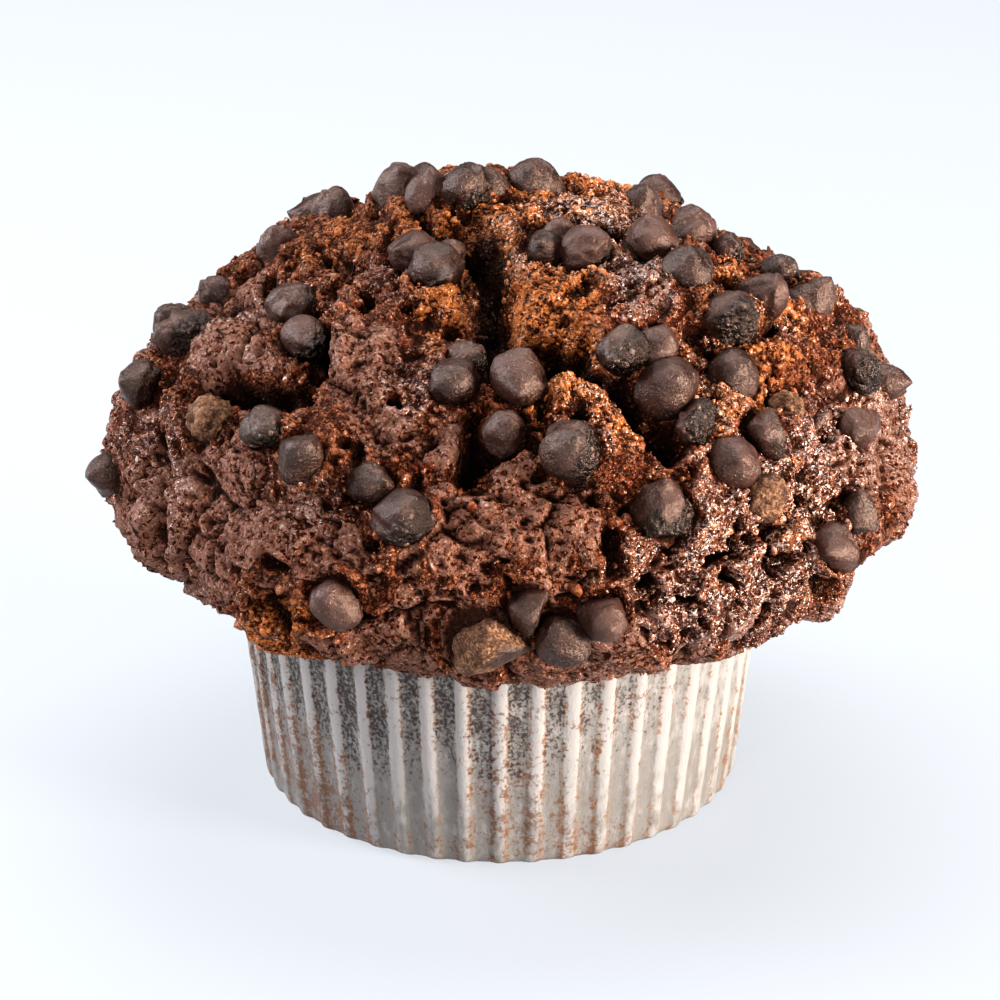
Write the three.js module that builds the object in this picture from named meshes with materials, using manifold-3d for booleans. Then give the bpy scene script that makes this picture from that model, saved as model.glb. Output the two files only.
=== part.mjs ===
// A double chocolate muffin in its pleated paper case, as two solids:
//   cake        the crumb, a mushroom-shaped crown on a stem, with the chocolate chips fused into its crust
//   paper_case  the greaseproof paper cup around the stem, its rim tucked into the crown's underside
// Millimetres, +Z up. The origin is the centre of the case's flat base, and -Y is the front.
import * as THREE from "three";
import { mergeVertices } from "three/addons/utils/BufferGeometryUtils.js";
import Module from "manifold-3d";

const wasm = await Module();
wasm.setup();

// ---------------------------------------------------------------- driving dimensions
const DEGREE = Math.PI / 180;
const GOLDEN_ANGLE = 137.508 * DEGREE;

// Paper case
const BASE_RADIUS = 25.1; // at the valleys of the pleats: with the ridges, the base is 51 mm across
const WALL_BULGE = 0.5; // how far the wall swells out just above the base
const BULGE_HEIGHT = 3; // height over which it does so
const WALL_FLARE = 2.3; // further flare from there to the rim
const RIM_HEIGHT = 27;
const PLEATS = 46;
const PLEAT_DEPTH = 1.2; // ridge to valley at the rim
const PLEAT_DEPTH_AT_BASE = 0.4;
const RIDGE_SHARE = 0.38; // share of each pleat that stands out as its ridge
const PAPER = 0.4; // wall thickness
const GAP = 0.3; // between paper and crumb

// Cake
const CROWN_RADIUS = 43.3;
const CROWN_OFFSET = 1.3; // the crown leans this far to +X of the case
const CROWN_LEVEL = 36; // height of its widest ring
const CROWN_RISE = 27.5; // from there to the top
const CROWN_FLANK = 1.1; // exponents that draw the flanks in from an ellipse
const CROWN_TOP = 1.05;
const LIP_DROP = 13.8; // from the widest ring down to the stem
const LIP_RADIUS = 27; // where the underside runs into the stem
const LIP_FLANK = 1.75;
const LIP_TURN = 1.0;
const SLOT_ROOF = 27.6; // top of the slot in the underside that holds the case's rim
const CROWN_FACETS = 15; // stretches along each edge of the icosahedron that the crown starts from
const STEM_SIDES = 60;

// Crust away from the front: plates of crust with cracks between them, and lumps all over
const CRUST_PLATES = 64;
const PLATE_RISE = 1.5; // the highest plates stand out this far
const PLATE_CRACK_DEPTH = 2.1;
const PLATE_CRACK_WIDTH = 1.3;
const LUMP_LENGTH = 7; // from lump to lump
const LUMP_HEIGHT = 1.2;
const FRONT_CALM = 0.6; // share of the plates' relief that gives way in front to the crags placed there
const HIDDEN_SHARE = 0.03; // share of the facets spent on the crown's floor, which the stem takes up

// Chocolate chips
const CHIP_SIDES = 6;
const CHIP_ROOM = 1.1; // least distance from chip to chip out of sight, in widths
const CHIP_SEAT = 0.9; // height of a chip's middle above the crust
const FRONT_UNITS = 1000; // width of the front view
const UNITS_PER_MM = 9.24; // of the front view, at its aim
const BACK_CHIPS = 360; // tries on a spiral over the whole crown: those out of the front view are kept
const CHIP_SEED = 20240611;
const PLATE_SEED = 7043;

// ---------------------------------------------------------------- the front view
// Chips and crags of the front are placed in a front view, as the eye of someone at the table sees them.
const EYE_DISTANCE = 400;
const EYE_ELEVATION = 22.5 * DEGREE;
const AIM = new THREE.Vector3(0, 0, 31);
const TOWARDS_EYE = new THREE.Vector3(0, -Math.cos(EYE_ELEVATION), Math.sin(EYE_ELEVATION));
const ACROSS = new THREE.Vector3(1, 0, 0);
const UPWARD = new THREE.Vector3().crossVectors(TOWARDS_EYE, ACROSS);
const EYE = AIM.clone().addScaledVector(TOWARDS_EYE, EYE_DISTANCE);

/** Unit vector from the eye through a place in the front view. */
function sightLine(across, down) {
  const half = FRONT_UNITS / 2;
  return TOWARDS_EYE.clone()
    .multiplyScalar(-EYE_DISTANCE)
    .addScaledVector(ACROSS, (across - half) / UNITS_PER_MM)
    .addScaledVector(UPWARD, (half - down) / UNITS_PER_MM)
    .normalize();
}

/** Where a point is seen in the front view, as [across, down]. */
function seenAt(point) {
  const ray = point.clone().sub(EYE);
  const scale = (UNITS_PER_MM * EYE_DISTANCE) / -ray.dot(TOWARDS_EYE);
  const half = FRONT_UNITS / 2;
  return [half + scale * ray.dot(ACROSS), half - scale * ray.dot(UPWARD)];
}

// Cracks of the front: the path in the front view, the half width there and the depth in millimetres.
const FRONT_CRACKS = [
  { path: [[490, 262], [490, 300], [488, 335], [502, 356]], width: 22, depth: 6.5 },
  { path: [[498, 352], [540, 352], [585, 362], [625, 385], [650, 420], [668, 440]], width: 12, depth: 4 },
  { path: [[540, 395], [545, 425], [535, 445], [470, 448]], width: 9, depth: 2.5 },
  { path: [[318, 335], [310, 375], [300, 395], [250, 402], [215, 400]], width: 13, depth: 3.5 },
  { path: [[325, 258], [352, 262], [378, 258], [388, 240]], width: 9, depth: 3 },
  { path: [[425, 200], [430, 220], [455, 232], [475, 240]], width: 10, depth: 3 },
  { path: [[172, 440], [165, 480], [158, 520], [163, 556]], width: 7, depth: 1.8 },
  { path: [[186, 350], [200, 340], [215, 318], [260, 300]], width: 8, depth: 1.8 },
  { path: [[777, 385], [795, 395], [815, 408]], width: 10, depth: 2.5 },
  { path: [[355, 655], [400, 658], [440, 668], [500, 672]], width: 6, depth: 1.5 },
];

// Plates of crust that stand proud between them, and broad dents:
// [across, down, half width, height in millimetres].
const FRONT_PLATES = [
  [235, 345, 50, 1.6],
  [362, 350, 52, 1.4],
  [575, 305, 50, 1.2],
  [655, 285, 45, 0.8],
  [585, 200, 35, 1.0],
  [450, 205, 28, 1.2],
  [300, 245, 40, 0.7],
  [840, 465, 30, 1.0],
  [820, 600, 28, 1.4],
  [145, 520, 26, 1.2],
  [152, 548, 16, 2.4],
  [175, 590, 45, -1.8],
  [105, 505, 34, -2.0],
  [895, 395, 60, -0.9],
  [890, 590, 45, -1.4],
];

// Chips of the front: [across, down, width in front view units, then the way the tip leans, across and up,
// where 0, 0 points it at the eye].
const FRONT_CHIPS = [
  [337, 206, 42, 0.0, 0.9],
  [276, 240, 46, -0.2, 0.7],
  [212, 292, 40, -0.5, 0.6],
  [168, 322, 44, -0.5, 0.5],
  [178, 335, 54, -0.7, 0.2],
  [140, 384, 46, -0.6, 0.1],
  [292, 308, 54, -0.3, 0.2],
  [306, 345, 54, 0.2, -0.2],
  [108, 476, 46, -0.8, 0.0],
  [301, 455, 56, 0.3, 0.5],
  [208, 420, 50, -0.4, 0.1],
  [375, 483, 54, 0.4, 0.3],
  [402, 516, 58, 0.1, 0.2],
  [332, 599, 56, -0.3, 0.2],
  [264, 432, 44, 0.0, 0.0],
  [507, 431, 54, 0.1, 0.4],
  [572, 450, 60, 0.1, 0.2],
  [524, 608, 54, -0.8, 0.3],
  [562, 633, 58, -0.2, 0.5],
  [605, 618, 58, 0.2, -0.2],
  [485, 630, 62, -0.2, 0.7],
  [397, 190, 54, -0.1, 0.6],
  [430, 188, 42, 0.1, 0.7],
  [466, 188, 44, 0.2, 0.6],
  [491, 180, 38, 0.0, 0.9],
  [533, 184, 58, 0.0, 0.7],
  [411, 257, 54, -0.4, 0.4],
  [436, 272, 54, 0.3, -0.3],
  [452, 250, 30, 0.0, 0.3],
  [480, 259, 46, 0.2, 0.3],
  [546, 248, 44, -0.2, 0.4],
  [558, 234, 44, 0.0, 0.6],
  [590, 251, 50, 0.3, 0.2],
  [455, 383, 56, -0.2, 0.1],
  [466, 358, 36, 0.2, 0.5],
  [519, 383, 62, -0.1, -0.5],
  [620, 352, 52, -0.4, -0.3],
  [658, 348, 48, 0.4, 0.5],
  [640, 203, 50, 0.2, 0.7],
  [649, 244, 60, -0.2, 0.3],
  [691, 229, 54, 0.3, 0.5],
  [689, 266, 58, 0.1, 0.6],
  [727, 247, 38, 0.2, 0.5],
  [763, 296, 50, 0.4, 0.2],
  [732, 322, 58, 0.1, 0.2],
  [784, 271, 42, 0.5, 0.6],
  [813, 298, 46, 0.6, 0.7],
  [671, 385, 60, 0.3, 0.2],
  [733, 376, 56, 0.5, 0.3],
  [694, 425, 52, -0.6, -0.1],
  [766, 432, 54, -0.8, 0.2],
  [789, 407, 40, 0.3, 0.3],
  [735, 462, 58, 0.1, 0.1],
  [861, 368, 52, 0.3, 0.4],
  [891, 381, 40, 0.9, 0.1],
  [856, 338, 36, 0.6, 0.6],
  [855, 433, 48, 0.1, -0.7],
  [857, 510, 48, -0.1, 0.8],
  [837, 548, 48, -0.4, -0.3],
  [766, 494, 46, 0.2, 0.2],
  [667, 513, 62, 0.0, 0.2],
];

// ---------------------------------------------------------------- small helpers
/** The same draws in the same order on every run. */
function drawsFrom(seed) {
  const modulus = 2147483647;
  let state = seed % modulus;
  return () => {
    state = (state * 16807) % modulus;
    return state / modulus;
  };
}

function smoothStep(low, high, value) {
  const t = Math.min(1, Math.max(0, (value - low) / (high - low)));
  return t * t * (3 - 2 * t);
}

/** Distance from a place in the front view to a path of straight stretches. */
function distanceToPath(across, down, path) {
  let nearest = Infinity;
  for (let i = 1; i < path.length; i++) {
    const [x0, y0] = path[i - 1];
    const [dx, dy] = [path[i][0] - x0, path[i][1] - y0];
    const along = ((across - x0) * dx + (down - y0) * dy) / (dx * dx + dy * dy);
    const t = Math.min(1, Math.max(0, along));
    nearest = Math.min(nearest, Math.hypot(across - x0 - t * dx, down - y0 - t * dy));
  }
  return nearest;
}

/** A closed geometry as a manifold-3d solid. */
function solidOf(geometry) {
  const bare = geometry.index ? geometry.toNonIndexed() : geometry.clone();
  for (const name of Object.keys(bare.attributes)) {
    if (name !== "position") bare.deleteAttribute(name);
  }
  const merged = mergeVertices(bare, 1e-4);
  const corners = merged.index.array;
  const triangles = [];
  for (let i = 0; i < corners.length; i += 3) {
    const [a, b, c] = [corners[i], corners[i + 1], corners[i + 2]];
    if (a !== b && b !== c && c !== a) triangles.push(a, b, c);
  }
  return new wasm.Manifold(
    new wasm.Mesh({
      numProp: 3,
      vertProperties: merged.attributes.position.array,
      triVerts: new Uint32Array(triangles),
    }),
  );
}

/** A manifold-3d solid as a geometry. */
function geometryOf(solid) {
  const mesh = solid.getMesh();
  const geometry = new THREE.BufferGeometry();
  geometry.setAttribute("position", new THREE.BufferAttribute(mesh.vertProperties, 3));
  geometry.setIndex(new THREE.BufferAttribute(mesh.triVerts, 1));
  geometry.computeVertexNormals();
  return geometry;
}

/** A profile of [radius, height] points, from the bottom up its outside and back, turned round Z. */
function turned(profile, segments) {
  const points = profile.map(([radius, height]) => new THREE.Vector2(radius, height));
  return new THREE.LatheGeometry(points, segments).rotateX(Math.PI / 2);
}

// ---------------------------------------------------------------- crown
const LATTICE_CORNERS = [0, 1, 2, 3, 4, 5, 6, 7].map((n) => [n & 1, (n >> 1) & 1, n >> 2]);

/** The crown's outline as [distance from its axis, height]: 0 is the widest ring, a right angle the top. */
function crownOutline(angle) {
  return [
    CROWN_RADIUS * Math.cos(angle) ** CROWN_FLANK,
    CROWN_LEVEL + CROWN_RISE * Math.sin(angle) ** CROWN_TOP,
  ];
}

/** The underside's outline, from 0 at the widest ring to a right angle where it meets the stem. */
function lipOutline(angle) {
  return [
    LIP_RADIUS + (CROWN_RADIUS - LIP_RADIUS) * Math.cos(angle) ** LIP_FLANK,
    CROWN_LEVEL - LIP_DROP * Math.sin(angle) ** LIP_TURN,
  ];
}

/** How far a point is outside the smooth crown, roughly, in millimetres. */
function outsideCrown(point) {
  const reach = Math.hypot(point.x - CROWN_OFFSET, point.y);
  const rise = point.z - CROWN_LEVEL;
  const above = rise >= 0;
  const [wide, high, flank, top] = above
    ? [CROWN_RADIUS, CROWN_RISE, CROWN_FLANK, CROWN_TOP]
    : [CROWN_RADIUS - LIP_RADIUS, LIP_DROP, LIP_FLANK, LIP_TURN];
  const sideways = Math.max(0, above ? reach : reach - LIP_RADIUS) / wide;
  const upwards = Math.abs(rise) / high;
  const level = sideways ** (2 / flank) + upwards ** (2 / top) - 1;
  const slopeOut = ((2 / flank) * sideways ** (2 / flank - 1)) / wide;
  const slopeUp = ((2 / top) * upwards ** (2 / top - 1)) / high;
  return level / Math.max(1e-6, Math.hypot(slopeOut, slopeUp));
}

/** Outward direction of the crown at a point near it. */
function crownNormal(point) {
  const step = 0.05;
  const normal = new THREE.Vector3();
  for (const axis of ["x", "y", "z"]) {
    const ahead = point.clone();
    const behind = point.clone();
    ahead[axis] += step;
    behind[axis] -= step;
    normal[axis] = outsideCrown(ahead) - outsideCrown(behind);
  }
  return normal.normalize();
}

/** Low swells that keep the crown from being round. */
function swell({ x, y, z }) {
  return (
    0.5 * Math.sin(0.11 * x + 0.07 * y + 0.9) +
    0.5 * Math.sin(-0.09 * x + 0.12 * y + 0.06 * z + 2.3) +
    0.4 * Math.sin(0.19 * x - 0.15 * y + 0.15 * z) +
    0.4 * Math.sin(0.22 * x + 0.2 * y - 0.1 * z + 4.1)
  );
}

/** A number from 0 to 1 for each corner of a cubic lattice. */
function latticeValue(i, j, k) {
  const scrambled = Math.sin(i * 127.1 + j * 311.7 + k * 74.7) * 43758.5453;
  return scrambled - Math.floor(scrambled);
}

/** Smooth noise from -1 to 1, whose lumps are one length apart. */
function noise(point, length) {
  const cell = [point.x, point.y, point.z].map((value) => Math.floor(value / length));
  const part = [point.x, point.y, point.z].map((value, axis) => {
    const t = value / length - cell[axis];
    return t * t * (3 - 2 * t);
  });
  let sum = 0;
  for (const [di, dj, dk] of LATTICE_CORNERS) {
    const share =
      (di ? part[0] : 1 - part[0]) * (dj ? part[1] : 1 - part[1]) * (dk ? part[2] : 1 - part[2]);
    sum += share * latticeValue(cell[0] + di, cell[1] + dj, cell[2] + dk);
  }
  return 2 * sum - 1;
}

/** Middles of the crust's plates, scattered over the crown, each with its height. */
function crustPlates() {
  const draw = drawsFrom(PLATE_SEED);
  const plates = [];
  for (let i = 0; i < CRUST_PLATES; i++) {
    const bearing = i * GOLDEN_ANGLE + 0.8 * (draw() - 0.5);
    const slope = (90 - 118 * Math.sqrt((i + draw()) / CRUST_PLATES)) * DEGREE;
    const [reach, height] = slope > 0 ? crownOutline(slope) : lipOutline(-slope);
    const middle = new THREE.Vector3(
      CROWN_OFFSET + reach * Math.cos(bearing),
      reach * Math.sin(bearing),
      height,
    );
    plates.push({ middle, rise: PLATE_RISE * draw() });
  }
  return plates;
}

/** Relief of the plates: each stands at its own height, rounded down into the crack round it. */
function plateRelief(point) {
  let nearest = Infinity;
  let second = Infinity;
  let rise = 0;
  for (const plate of PLATES_OF_CRUST) {
    const distance = point.distanceTo(plate.middle);
    if (distance < nearest) {
      second = nearest;
      nearest = distance;
      rise = plate.rise;
    } else if (distance < second) {
      second = distance;
    }
  }
  const fromCrack = second - nearest;
  const crack = Math.exp(-((fromCrack / (2 * PLATE_CRACK_WIDTH)) ** 2));
  return rise * smoothStep(0, 3 * PLATE_CRACK_WIDTH, fromCrack) - PLATE_CRACK_DEPTH * crack;
}

/** Height of the crags above the smooth crown. */
function crags(point, normal) {
  const inSight = smoothStep(-0.5, -0.1, normal.dot(TOWARDS_EYE));
  const [across, down] = seenAt(point);
  let front = 0;
  for (const [x, y, width, height] of FRONT_PLATES) {
    front += height * Math.exp(-(((across - x) / width) ** 2) - ((down - y) / width) ** 2);
  }
  for (const { path, width, depth } of FRONT_CRACKS) {
    front -= depth * Math.exp(-((distanceToPath(across, down, path) / width) ** 2));
  }
  const lumps = LUMP_HEIGHT * noise(point, LUMP_LENGTH);
  const far = (1 - FRONT_CALM * inSight) * plateRelief(point);
  return swell(point) + lumps + far + inSight * front;
}

/** The crown's outline from its top over the rim to the stem and the share of its area above each. */
function outlineByArea() {
  const steps = 40;
  const outline = [];
  for (let i = steps; i >= 0; i--) outline.push(crownOutline((i / steps) * 90 * DEGREE));
  for (let i = 1; i <= steps; i++) outline.push(lipOutline((i / steps) * 90 * DEGREE));
  const areas = [0];
  for (let i = 1; i < outline.length; i++) {
    const [r0, z0] = outline[i - 1];
    const [r1, z1] = outline[i];
    areas.push(areas[i - 1] + (r0 + r1) * Math.hypot(r1 - r0, z1 - z0));
  }
  outline.push([0, CROWN_LEVEL - LIP_DROP]);
  areas.push(areas[areas.length - 1] * (1 + HIDDEN_SHARE));
  return { outline, shares: areas.map((area) => area / areas[areas.length - 1]) };
}

/** The crown as an icosahedron's fine sphere, spread evenly over the outline and lifted by the crags. */
function crownBody() {
  const { outline, shares } = outlineByArea();
  const geometry = new THREE.IcosahedronGeometry(1, CROWN_FACETS - 1);
  const position = geometry.attributes.position;
  const point = new THREE.Vector3();
  for (let i = 0; i < position.count; i++) {
    point.fromBufferAttribute(position, i);
    const bearing = Math.atan2(point.y, point.x);
    const share = Math.min(1, Math.max(0, (1 - point.z) / 2));
    const after = Math.max(1, shares.findIndex((value) => value >= share));
    const t = (share - shares[after - 1]) / (shares[after] - shares[after - 1]);
    const reach = THREE.MathUtils.lerp(outline[after - 1][0], outline[after][0], t);
    const height = THREE.MathUtils.lerp(outline[after - 1][1], outline[after][1], t);
    point.set(CROWN_OFFSET + reach * Math.cos(bearing), reach * Math.sin(bearing), height);
    if (reach > LIP_RADIUS || height > CROWN_LEVEL) {
      const normal = crownNormal(point);
      const free = height > CROWN_LEVEL ? 1 : smoothStep(LIP_RADIUS, LIP_RADIUS + 5, reach);
      point.addScaledVector(normal, free * crags(point, normal));
    }
    position.setXYZ(i, point.x, point.y, point.z);
  }
  return solidOf(geometry);
}

/** The stem inside the case, its top sunk into the crown. */
function stemBody() {
  const floor = PAPER + GAP;
  const top = SLOT_ROOF + 1;
  const profile = [
    [0, floor],
    [stemRadius(floor), floor],
    [stemRadius(BULGE_HEIGHT), BULGE_HEIGHT],
    [stemRadius(top), top],
    [0, top],
  ];
  return solidOf(turned(profile, STEM_SIDES));
}

/** What is cut out of the crown's underside round the stem, so that the case's rim is free in it. */
function rimHollow() {
  const radius = wallRadius(RIM_HEIGHT) + PLEAT_DEPTH + GAP;
  const below = CROWN_LEVEL - 2 * LIP_DROP;
  const profile = [
    [0, below],
    [radius, below],
    [radius, SLOT_ROOF],
    [0, SLOT_ROOF],
  ];
  return solidOf(turned(profile, STEM_SIDES));
}

// ---------------------------------------------------------------- chips
/** A drop-shaped chip one unit wide, its blunt tip along +Z and its middle at the origin. */
function chipShape() {
  return turned([[0, -0.38], [0.4, -0.34], [0.5, -0.02], [0.32, 0.3], [0, 0.46]], CHIP_SIDES);
}

/** Where a chip sits: where its sight line first comes down to the seat above the crust, or nearest it. */
function seatInSight(across, down, width) {
  const direction = sightLine(across, down);
  const seat = Math.min(CHIP_SEAT, 0.2 * width);
  const step = 0.25;
  const span = 70;
  let best = Infinity;
  const place = new THREE.Vector3();
  for (let t = EYE_DISTANCE - span; t < EYE_DISTANCE + span; t += step) {
    const point = EYE.clone().addScaledVector(direction, t);
    const clearance = outsideCrown(point) - crags(point, crownNormal(point));
    if (clearance < best) {
      best = clearance;
      place.copy(point);
    }
    if (clearance < seat) break;
  }
  return place.addScaledVector(crownNormal(place), seat - best);
}

/** Whether a place in the front view is taken up by the crown or by one of its chips. */
function isCovered(across, down) {
  const onChip = FRONT_CHIPS.some(([x, y, width]) => Math.hypot(across - x, down - y) < 0.5 * width);
  if (onChip) return true;
  const direction = sightLine(across, down);
  for (let t = EYE_DISTANCE - CROWN_RADIUS; t < EYE_DISTANCE + CROWN_RADIUS; t += 1) {
    if (outsideCrown(EYE.clone().addScaledVector(direction, t)) < -0.3) return true;
  }
  return false;
}

/** Whether a chip is out of sight behind the crown, its edges included. */
function isBehind(place, normal, width) {
  if (normal.dot(TOWARDS_EYE) > 0) return false;
  const [across, down] = seenAt(place);
  const margin = 0.6 * width * UNITS_PER_MM;
  const sides = isCovered(across - margin, down) && isCovered(across + margin, down);
  return sides && isCovered(across, down - margin);
}

/** Chips that the front view doesn't show, on a loose spiral over the crown. */
function backChips() {
  const draw = drawsFrom(CHIP_SEED);
  const chips = [];
  for (let i = 0; i < BACK_CHIPS; i++) {
    const bearing = i * GOLDEN_ANGLE + 0.5 * (draw() - 0.5);
    const slope = (90 - 82 * ((i + draw()) / BACK_CHIPS) ** 0.6) * DEGREE;
    const width = (5.0 + 1.6 * draw()) * (draw() < 0.12 ? 0.75 : 1);
    const lean = new THREE.Vector3(draw() - 0.5, draw() - 0.5, draw() - 0.5);
    const [reach, height] = crownOutline(slope);
    const place = new THREE.Vector3(
      CROWN_OFFSET + reach * Math.cos(bearing),
      reach * Math.sin(bearing),
      height,
    );
    const normal = crownNormal(place);
    if (!isBehind(place, normal, width)) continue;
    place.addScaledVector(normal, CHIP_SEAT + crags(place, normal));
    if (chips.some((chip) => chip.place.distanceTo(place) < CHIP_ROOM * width)) continue;
    chips.push({ place, width, tip: normal.clone().addScaledVector(lean, 1.6).normalize() });
  }
  return chips;
}

function frontChips() {
  return FRONT_CHIPS.map(([across, down, units, leanAcross, leanUp]) => {
    const width = units / UNITS_PER_MM;
    const facing = Math.sqrt(Math.max(0, 1 - leanAcross ** 2 - leanUp ** 2));
    const tip = ACROSS.clone()
      .multiplyScalar(leanAcross)
      .addScaledVector(UPWARD, leanUp)
      .addScaledVector(TOWARDS_EYE, facing)
      .normalize();
    return { place: seatInSight(across, down, width), width, tip };
  });
}

/** A chip of its own width, turned to its lean and set in its place. */
function placed(shape, { place, width, tip }) {
  const matrix = new THREE.Matrix4().compose(
    place,
    new THREE.Quaternion().setFromUnitVectors(new THREE.Vector3(0, 0, 1), tip),
    new THREE.Vector3(width, width, width),
  );
  return solidOf(shape.clone().applyMatrix4(matrix));
}

// ---------------------------------------------------------------- paper case
/** Radius of the case's wall at its valleys. */
function wallRadius(height) {
  const bulge = WALL_BULGE * Math.sqrt(Math.min(1, height / BULGE_HEIGHT));
  const flare = WALL_FLARE * Math.max(0, (height - BULGE_HEIGHT) / (RIM_HEIGHT - BULGE_HEIGHT));
  return BASE_RADIUS + bulge + flare;
}

/** Radius of the crumb inside it, which touches only the valleys. */
function stemRadius(height) {
  return wallRadius(height) - PAPER - GAP;
}

/** The case: a pleated wall on a flat round base, as one turned cup whose rings follow the pleats. */
function paperCase() {
  const pointsPerPleat = 4;
  const heights = [0, BULGE_HEIGHT, RIM_HEIGHT];
  const outer = heights.map((height) => [wallRadius(height), height]);
  const innerHeights = heights.map((height) => Math.max(PAPER, height));
  const inner = innerHeights.map((height) => [wallRadius(height) - PAPER, height]);
  const geometry = turned([[0, 0], ...outer, ...inner.reverse(), [0, PAPER]], PLEATS * pointsPerPleat);
  const position = geometry.attributes.position;
  for (let i = 0; i < position.count; i++) {
    const [x, y, z] = [position.getX(i), position.getY(i), position.getZ(i)];
    const radius = Math.hypot(x, y);
    if (radius < 1) continue;
    const pleat = (Math.atan2(y, x) / (2 * Math.PI)) * PLEATS;
    const corner = Math.round(pointsPerPleat * (pleat - Math.floor(pleat))) % pointsPerPleat;
    const shift = [0, 0.5 - RIDGE_SHARE / 2 - 0.25, 0, RIDGE_SHARE / 2 - 0.25][corner];
    const bearing = ((pleat + shift) / PLEATS) * 2 * Math.PI;
    const depth = THREE.MathUtils.lerp(PLEAT_DEPTH_AT_BASE, PLEAT_DEPTH, z / RIM_HEIGHT);
    const grown = radius + (corner === 2 ? depth : 0);
    position.setXY(i, grown * Math.cos(bearing), grown * Math.sin(bearing));
  }
  return solidOf(geometry);
}

// ---------------------------------------------------------------- the muffin
const PLATES_OF_CRUST = crustPlates();
const chipForm = chipShape();
let cakeSolid = crownBody();
for (const chip of [...frontChips(), ...backChips()]) cakeSolid = cakeSolid.add(placed(chipForm, chip));
cakeSolid = cakeSolid.subtract(rimHollow()).add(stemBody());

const cake = new THREE.Mesh(
  geometryOf(cakeSolid),
  new THREE.MeshStandardMaterial({ color: "#4b2c22", roughness: 0.75, metalness: 0 }),
);
cake.name = "cake";

const cup = new THREE.Mesh(
  geometryOf(paperCase()),
  new THREE.MeshStandardMaterial({ color: "#d9d2c8", roughness: 0.6, metalness: 0 }),
);
cup.name = "paper_case";

const muffin = new THREE.Group();
muffin.name = "muffin";
muffin.add(cup, cake);

export default muffin;
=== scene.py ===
"""A double chocolate muffin with chocolate chips, in its pleated paper case.

The crumb, its loose grains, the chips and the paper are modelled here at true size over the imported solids.
Shapes are worked out in millimetres and written to the meshes in metres. +Z is up and -Y is the front.
"""

from __future__ import annotations

import logging
import math
from collections.abc import Callable, Iterator
from dataclasses import dataclass, field
from enum import Enum
from functools import partial

import bmesh
import bpy
import numpy as np
from mathutils import Matrix, Vector


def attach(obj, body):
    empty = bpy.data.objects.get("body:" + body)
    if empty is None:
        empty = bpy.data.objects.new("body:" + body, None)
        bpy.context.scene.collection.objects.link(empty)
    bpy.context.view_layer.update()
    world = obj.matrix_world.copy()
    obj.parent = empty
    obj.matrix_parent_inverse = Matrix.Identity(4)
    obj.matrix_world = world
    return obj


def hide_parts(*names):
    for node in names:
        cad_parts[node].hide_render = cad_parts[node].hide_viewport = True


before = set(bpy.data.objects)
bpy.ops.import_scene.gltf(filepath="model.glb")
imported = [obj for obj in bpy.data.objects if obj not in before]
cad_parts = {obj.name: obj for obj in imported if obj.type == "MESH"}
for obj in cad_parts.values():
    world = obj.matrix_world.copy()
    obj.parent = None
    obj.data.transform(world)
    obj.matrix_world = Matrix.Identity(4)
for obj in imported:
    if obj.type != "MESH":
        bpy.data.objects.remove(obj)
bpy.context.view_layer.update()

METRES = 0.001
GOLDEN_ANGLE = math.radians(137.508)

Array = np.ndarray
Rows = tuple[tuple[float, ...], ...]

log = logging.getLogger("muffin")


# ---------------------------------------------------------------- numbers
def draws_from(seed: int) -> Iterator[float]:
    """The same draws in the same order on every run.

    Args:
        seed: any whole number above 0.

    Returns:
        An endless run of numbers from 0 to 1.
    """
    modulus = 2147483647
    state = seed % modulus
    while True:
        state = state * 16807 % modulus
        yield state / modulus


def smooth_step(low: float, high: float, value: Array) -> Array:
    """A soft step from 0 at low to 1 at high.

    Args:
        low: where the step starts.
        high: where it ends.
        value: the numbers to weigh.

    Returns:
        A weight for each number.
    """
    t = np.clip((value - low) / (high - low), 0.0, 1.0)
    return t * t * (3.0 - 2.0 * t)


def lattice_value(corner: Array, turn: float = 0.0) -> Array:
    """A number from 0 to 1 for each corner of a cubic lattice.

    Args:
        corner: whole numbers, one row of three for each corner.
        turn: shifts the draw, for numbers of another kind at the same corner.

    Returns:
        One number for each row.
    """
    scrambled = np.sin(corner @ np.array([127.1, 311.7, 74.7]) + turn) * 43758.5453
    return scrambled - np.floor(scrambled)


def noise(points: Array, length: float, turn: float = 0.0) -> Array:
    """Smooth noise whose lumps are one length apart.

    Args:
        points: places in millimetres, one row each.
        length: from lump to lump, in millimetres.
        turn: picks another noise of the same kind.

    Returns:
        A number from -1 to 1 for each place.
    """
    scaled = points / length
    cell = np.floor(scaled)
    part = scaled - cell
    part = part * part * (3.0 - 2.0 * part)
    total = np.zeros(len(points))
    for step in np.ndindex(2, 2, 2):
        offset = np.array(step, float)
        share = np.prod(np.where(offset > 0, part, 1.0 - part), axis=1)
        total += share * lattice_value(cell + offset, turn)
    return 2.0 * total - 1.0


def grains(points: Array, length: float, turn: float = 0.0) -> tuple[Array, Array, Array]:
    """Distances to the two nearest of scattered middles, one in each cell of a lattice.

    Args:
        points: places in millimetres, one row each.
        length: from middle to middle, in millimetres.
        turn: picks another scatter.

    Returns:
        The nearest distance and the second nearest, in lengths, and the nearest middle's number from 0 to 1.
    """
    scaled = points / length
    cell = np.floor(scaled)
    nearest = np.full(len(points), 9.0)
    second = nearest.copy()
    owner = np.zeros(len(points))
    for step in np.ndindex(3, 3, 3):
        corner = cell + np.array(step, float) - 1.0
        shift = np.stack([lattice_value(corner, turn + k) for k in (1.3, 4.7, 8.9)], axis=1)
        distance = np.linalg.norm(scaled - corner - shift, axis=1)
        closer = distance < nearest
        second = np.where(closer, nearest, np.minimum(second, distance))
        owner = np.where(closer, lattice_value(corner, turn + 12.1), owner)
        nearest = np.where(closer, distance, nearest)
    return nearest, second, owner


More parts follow.
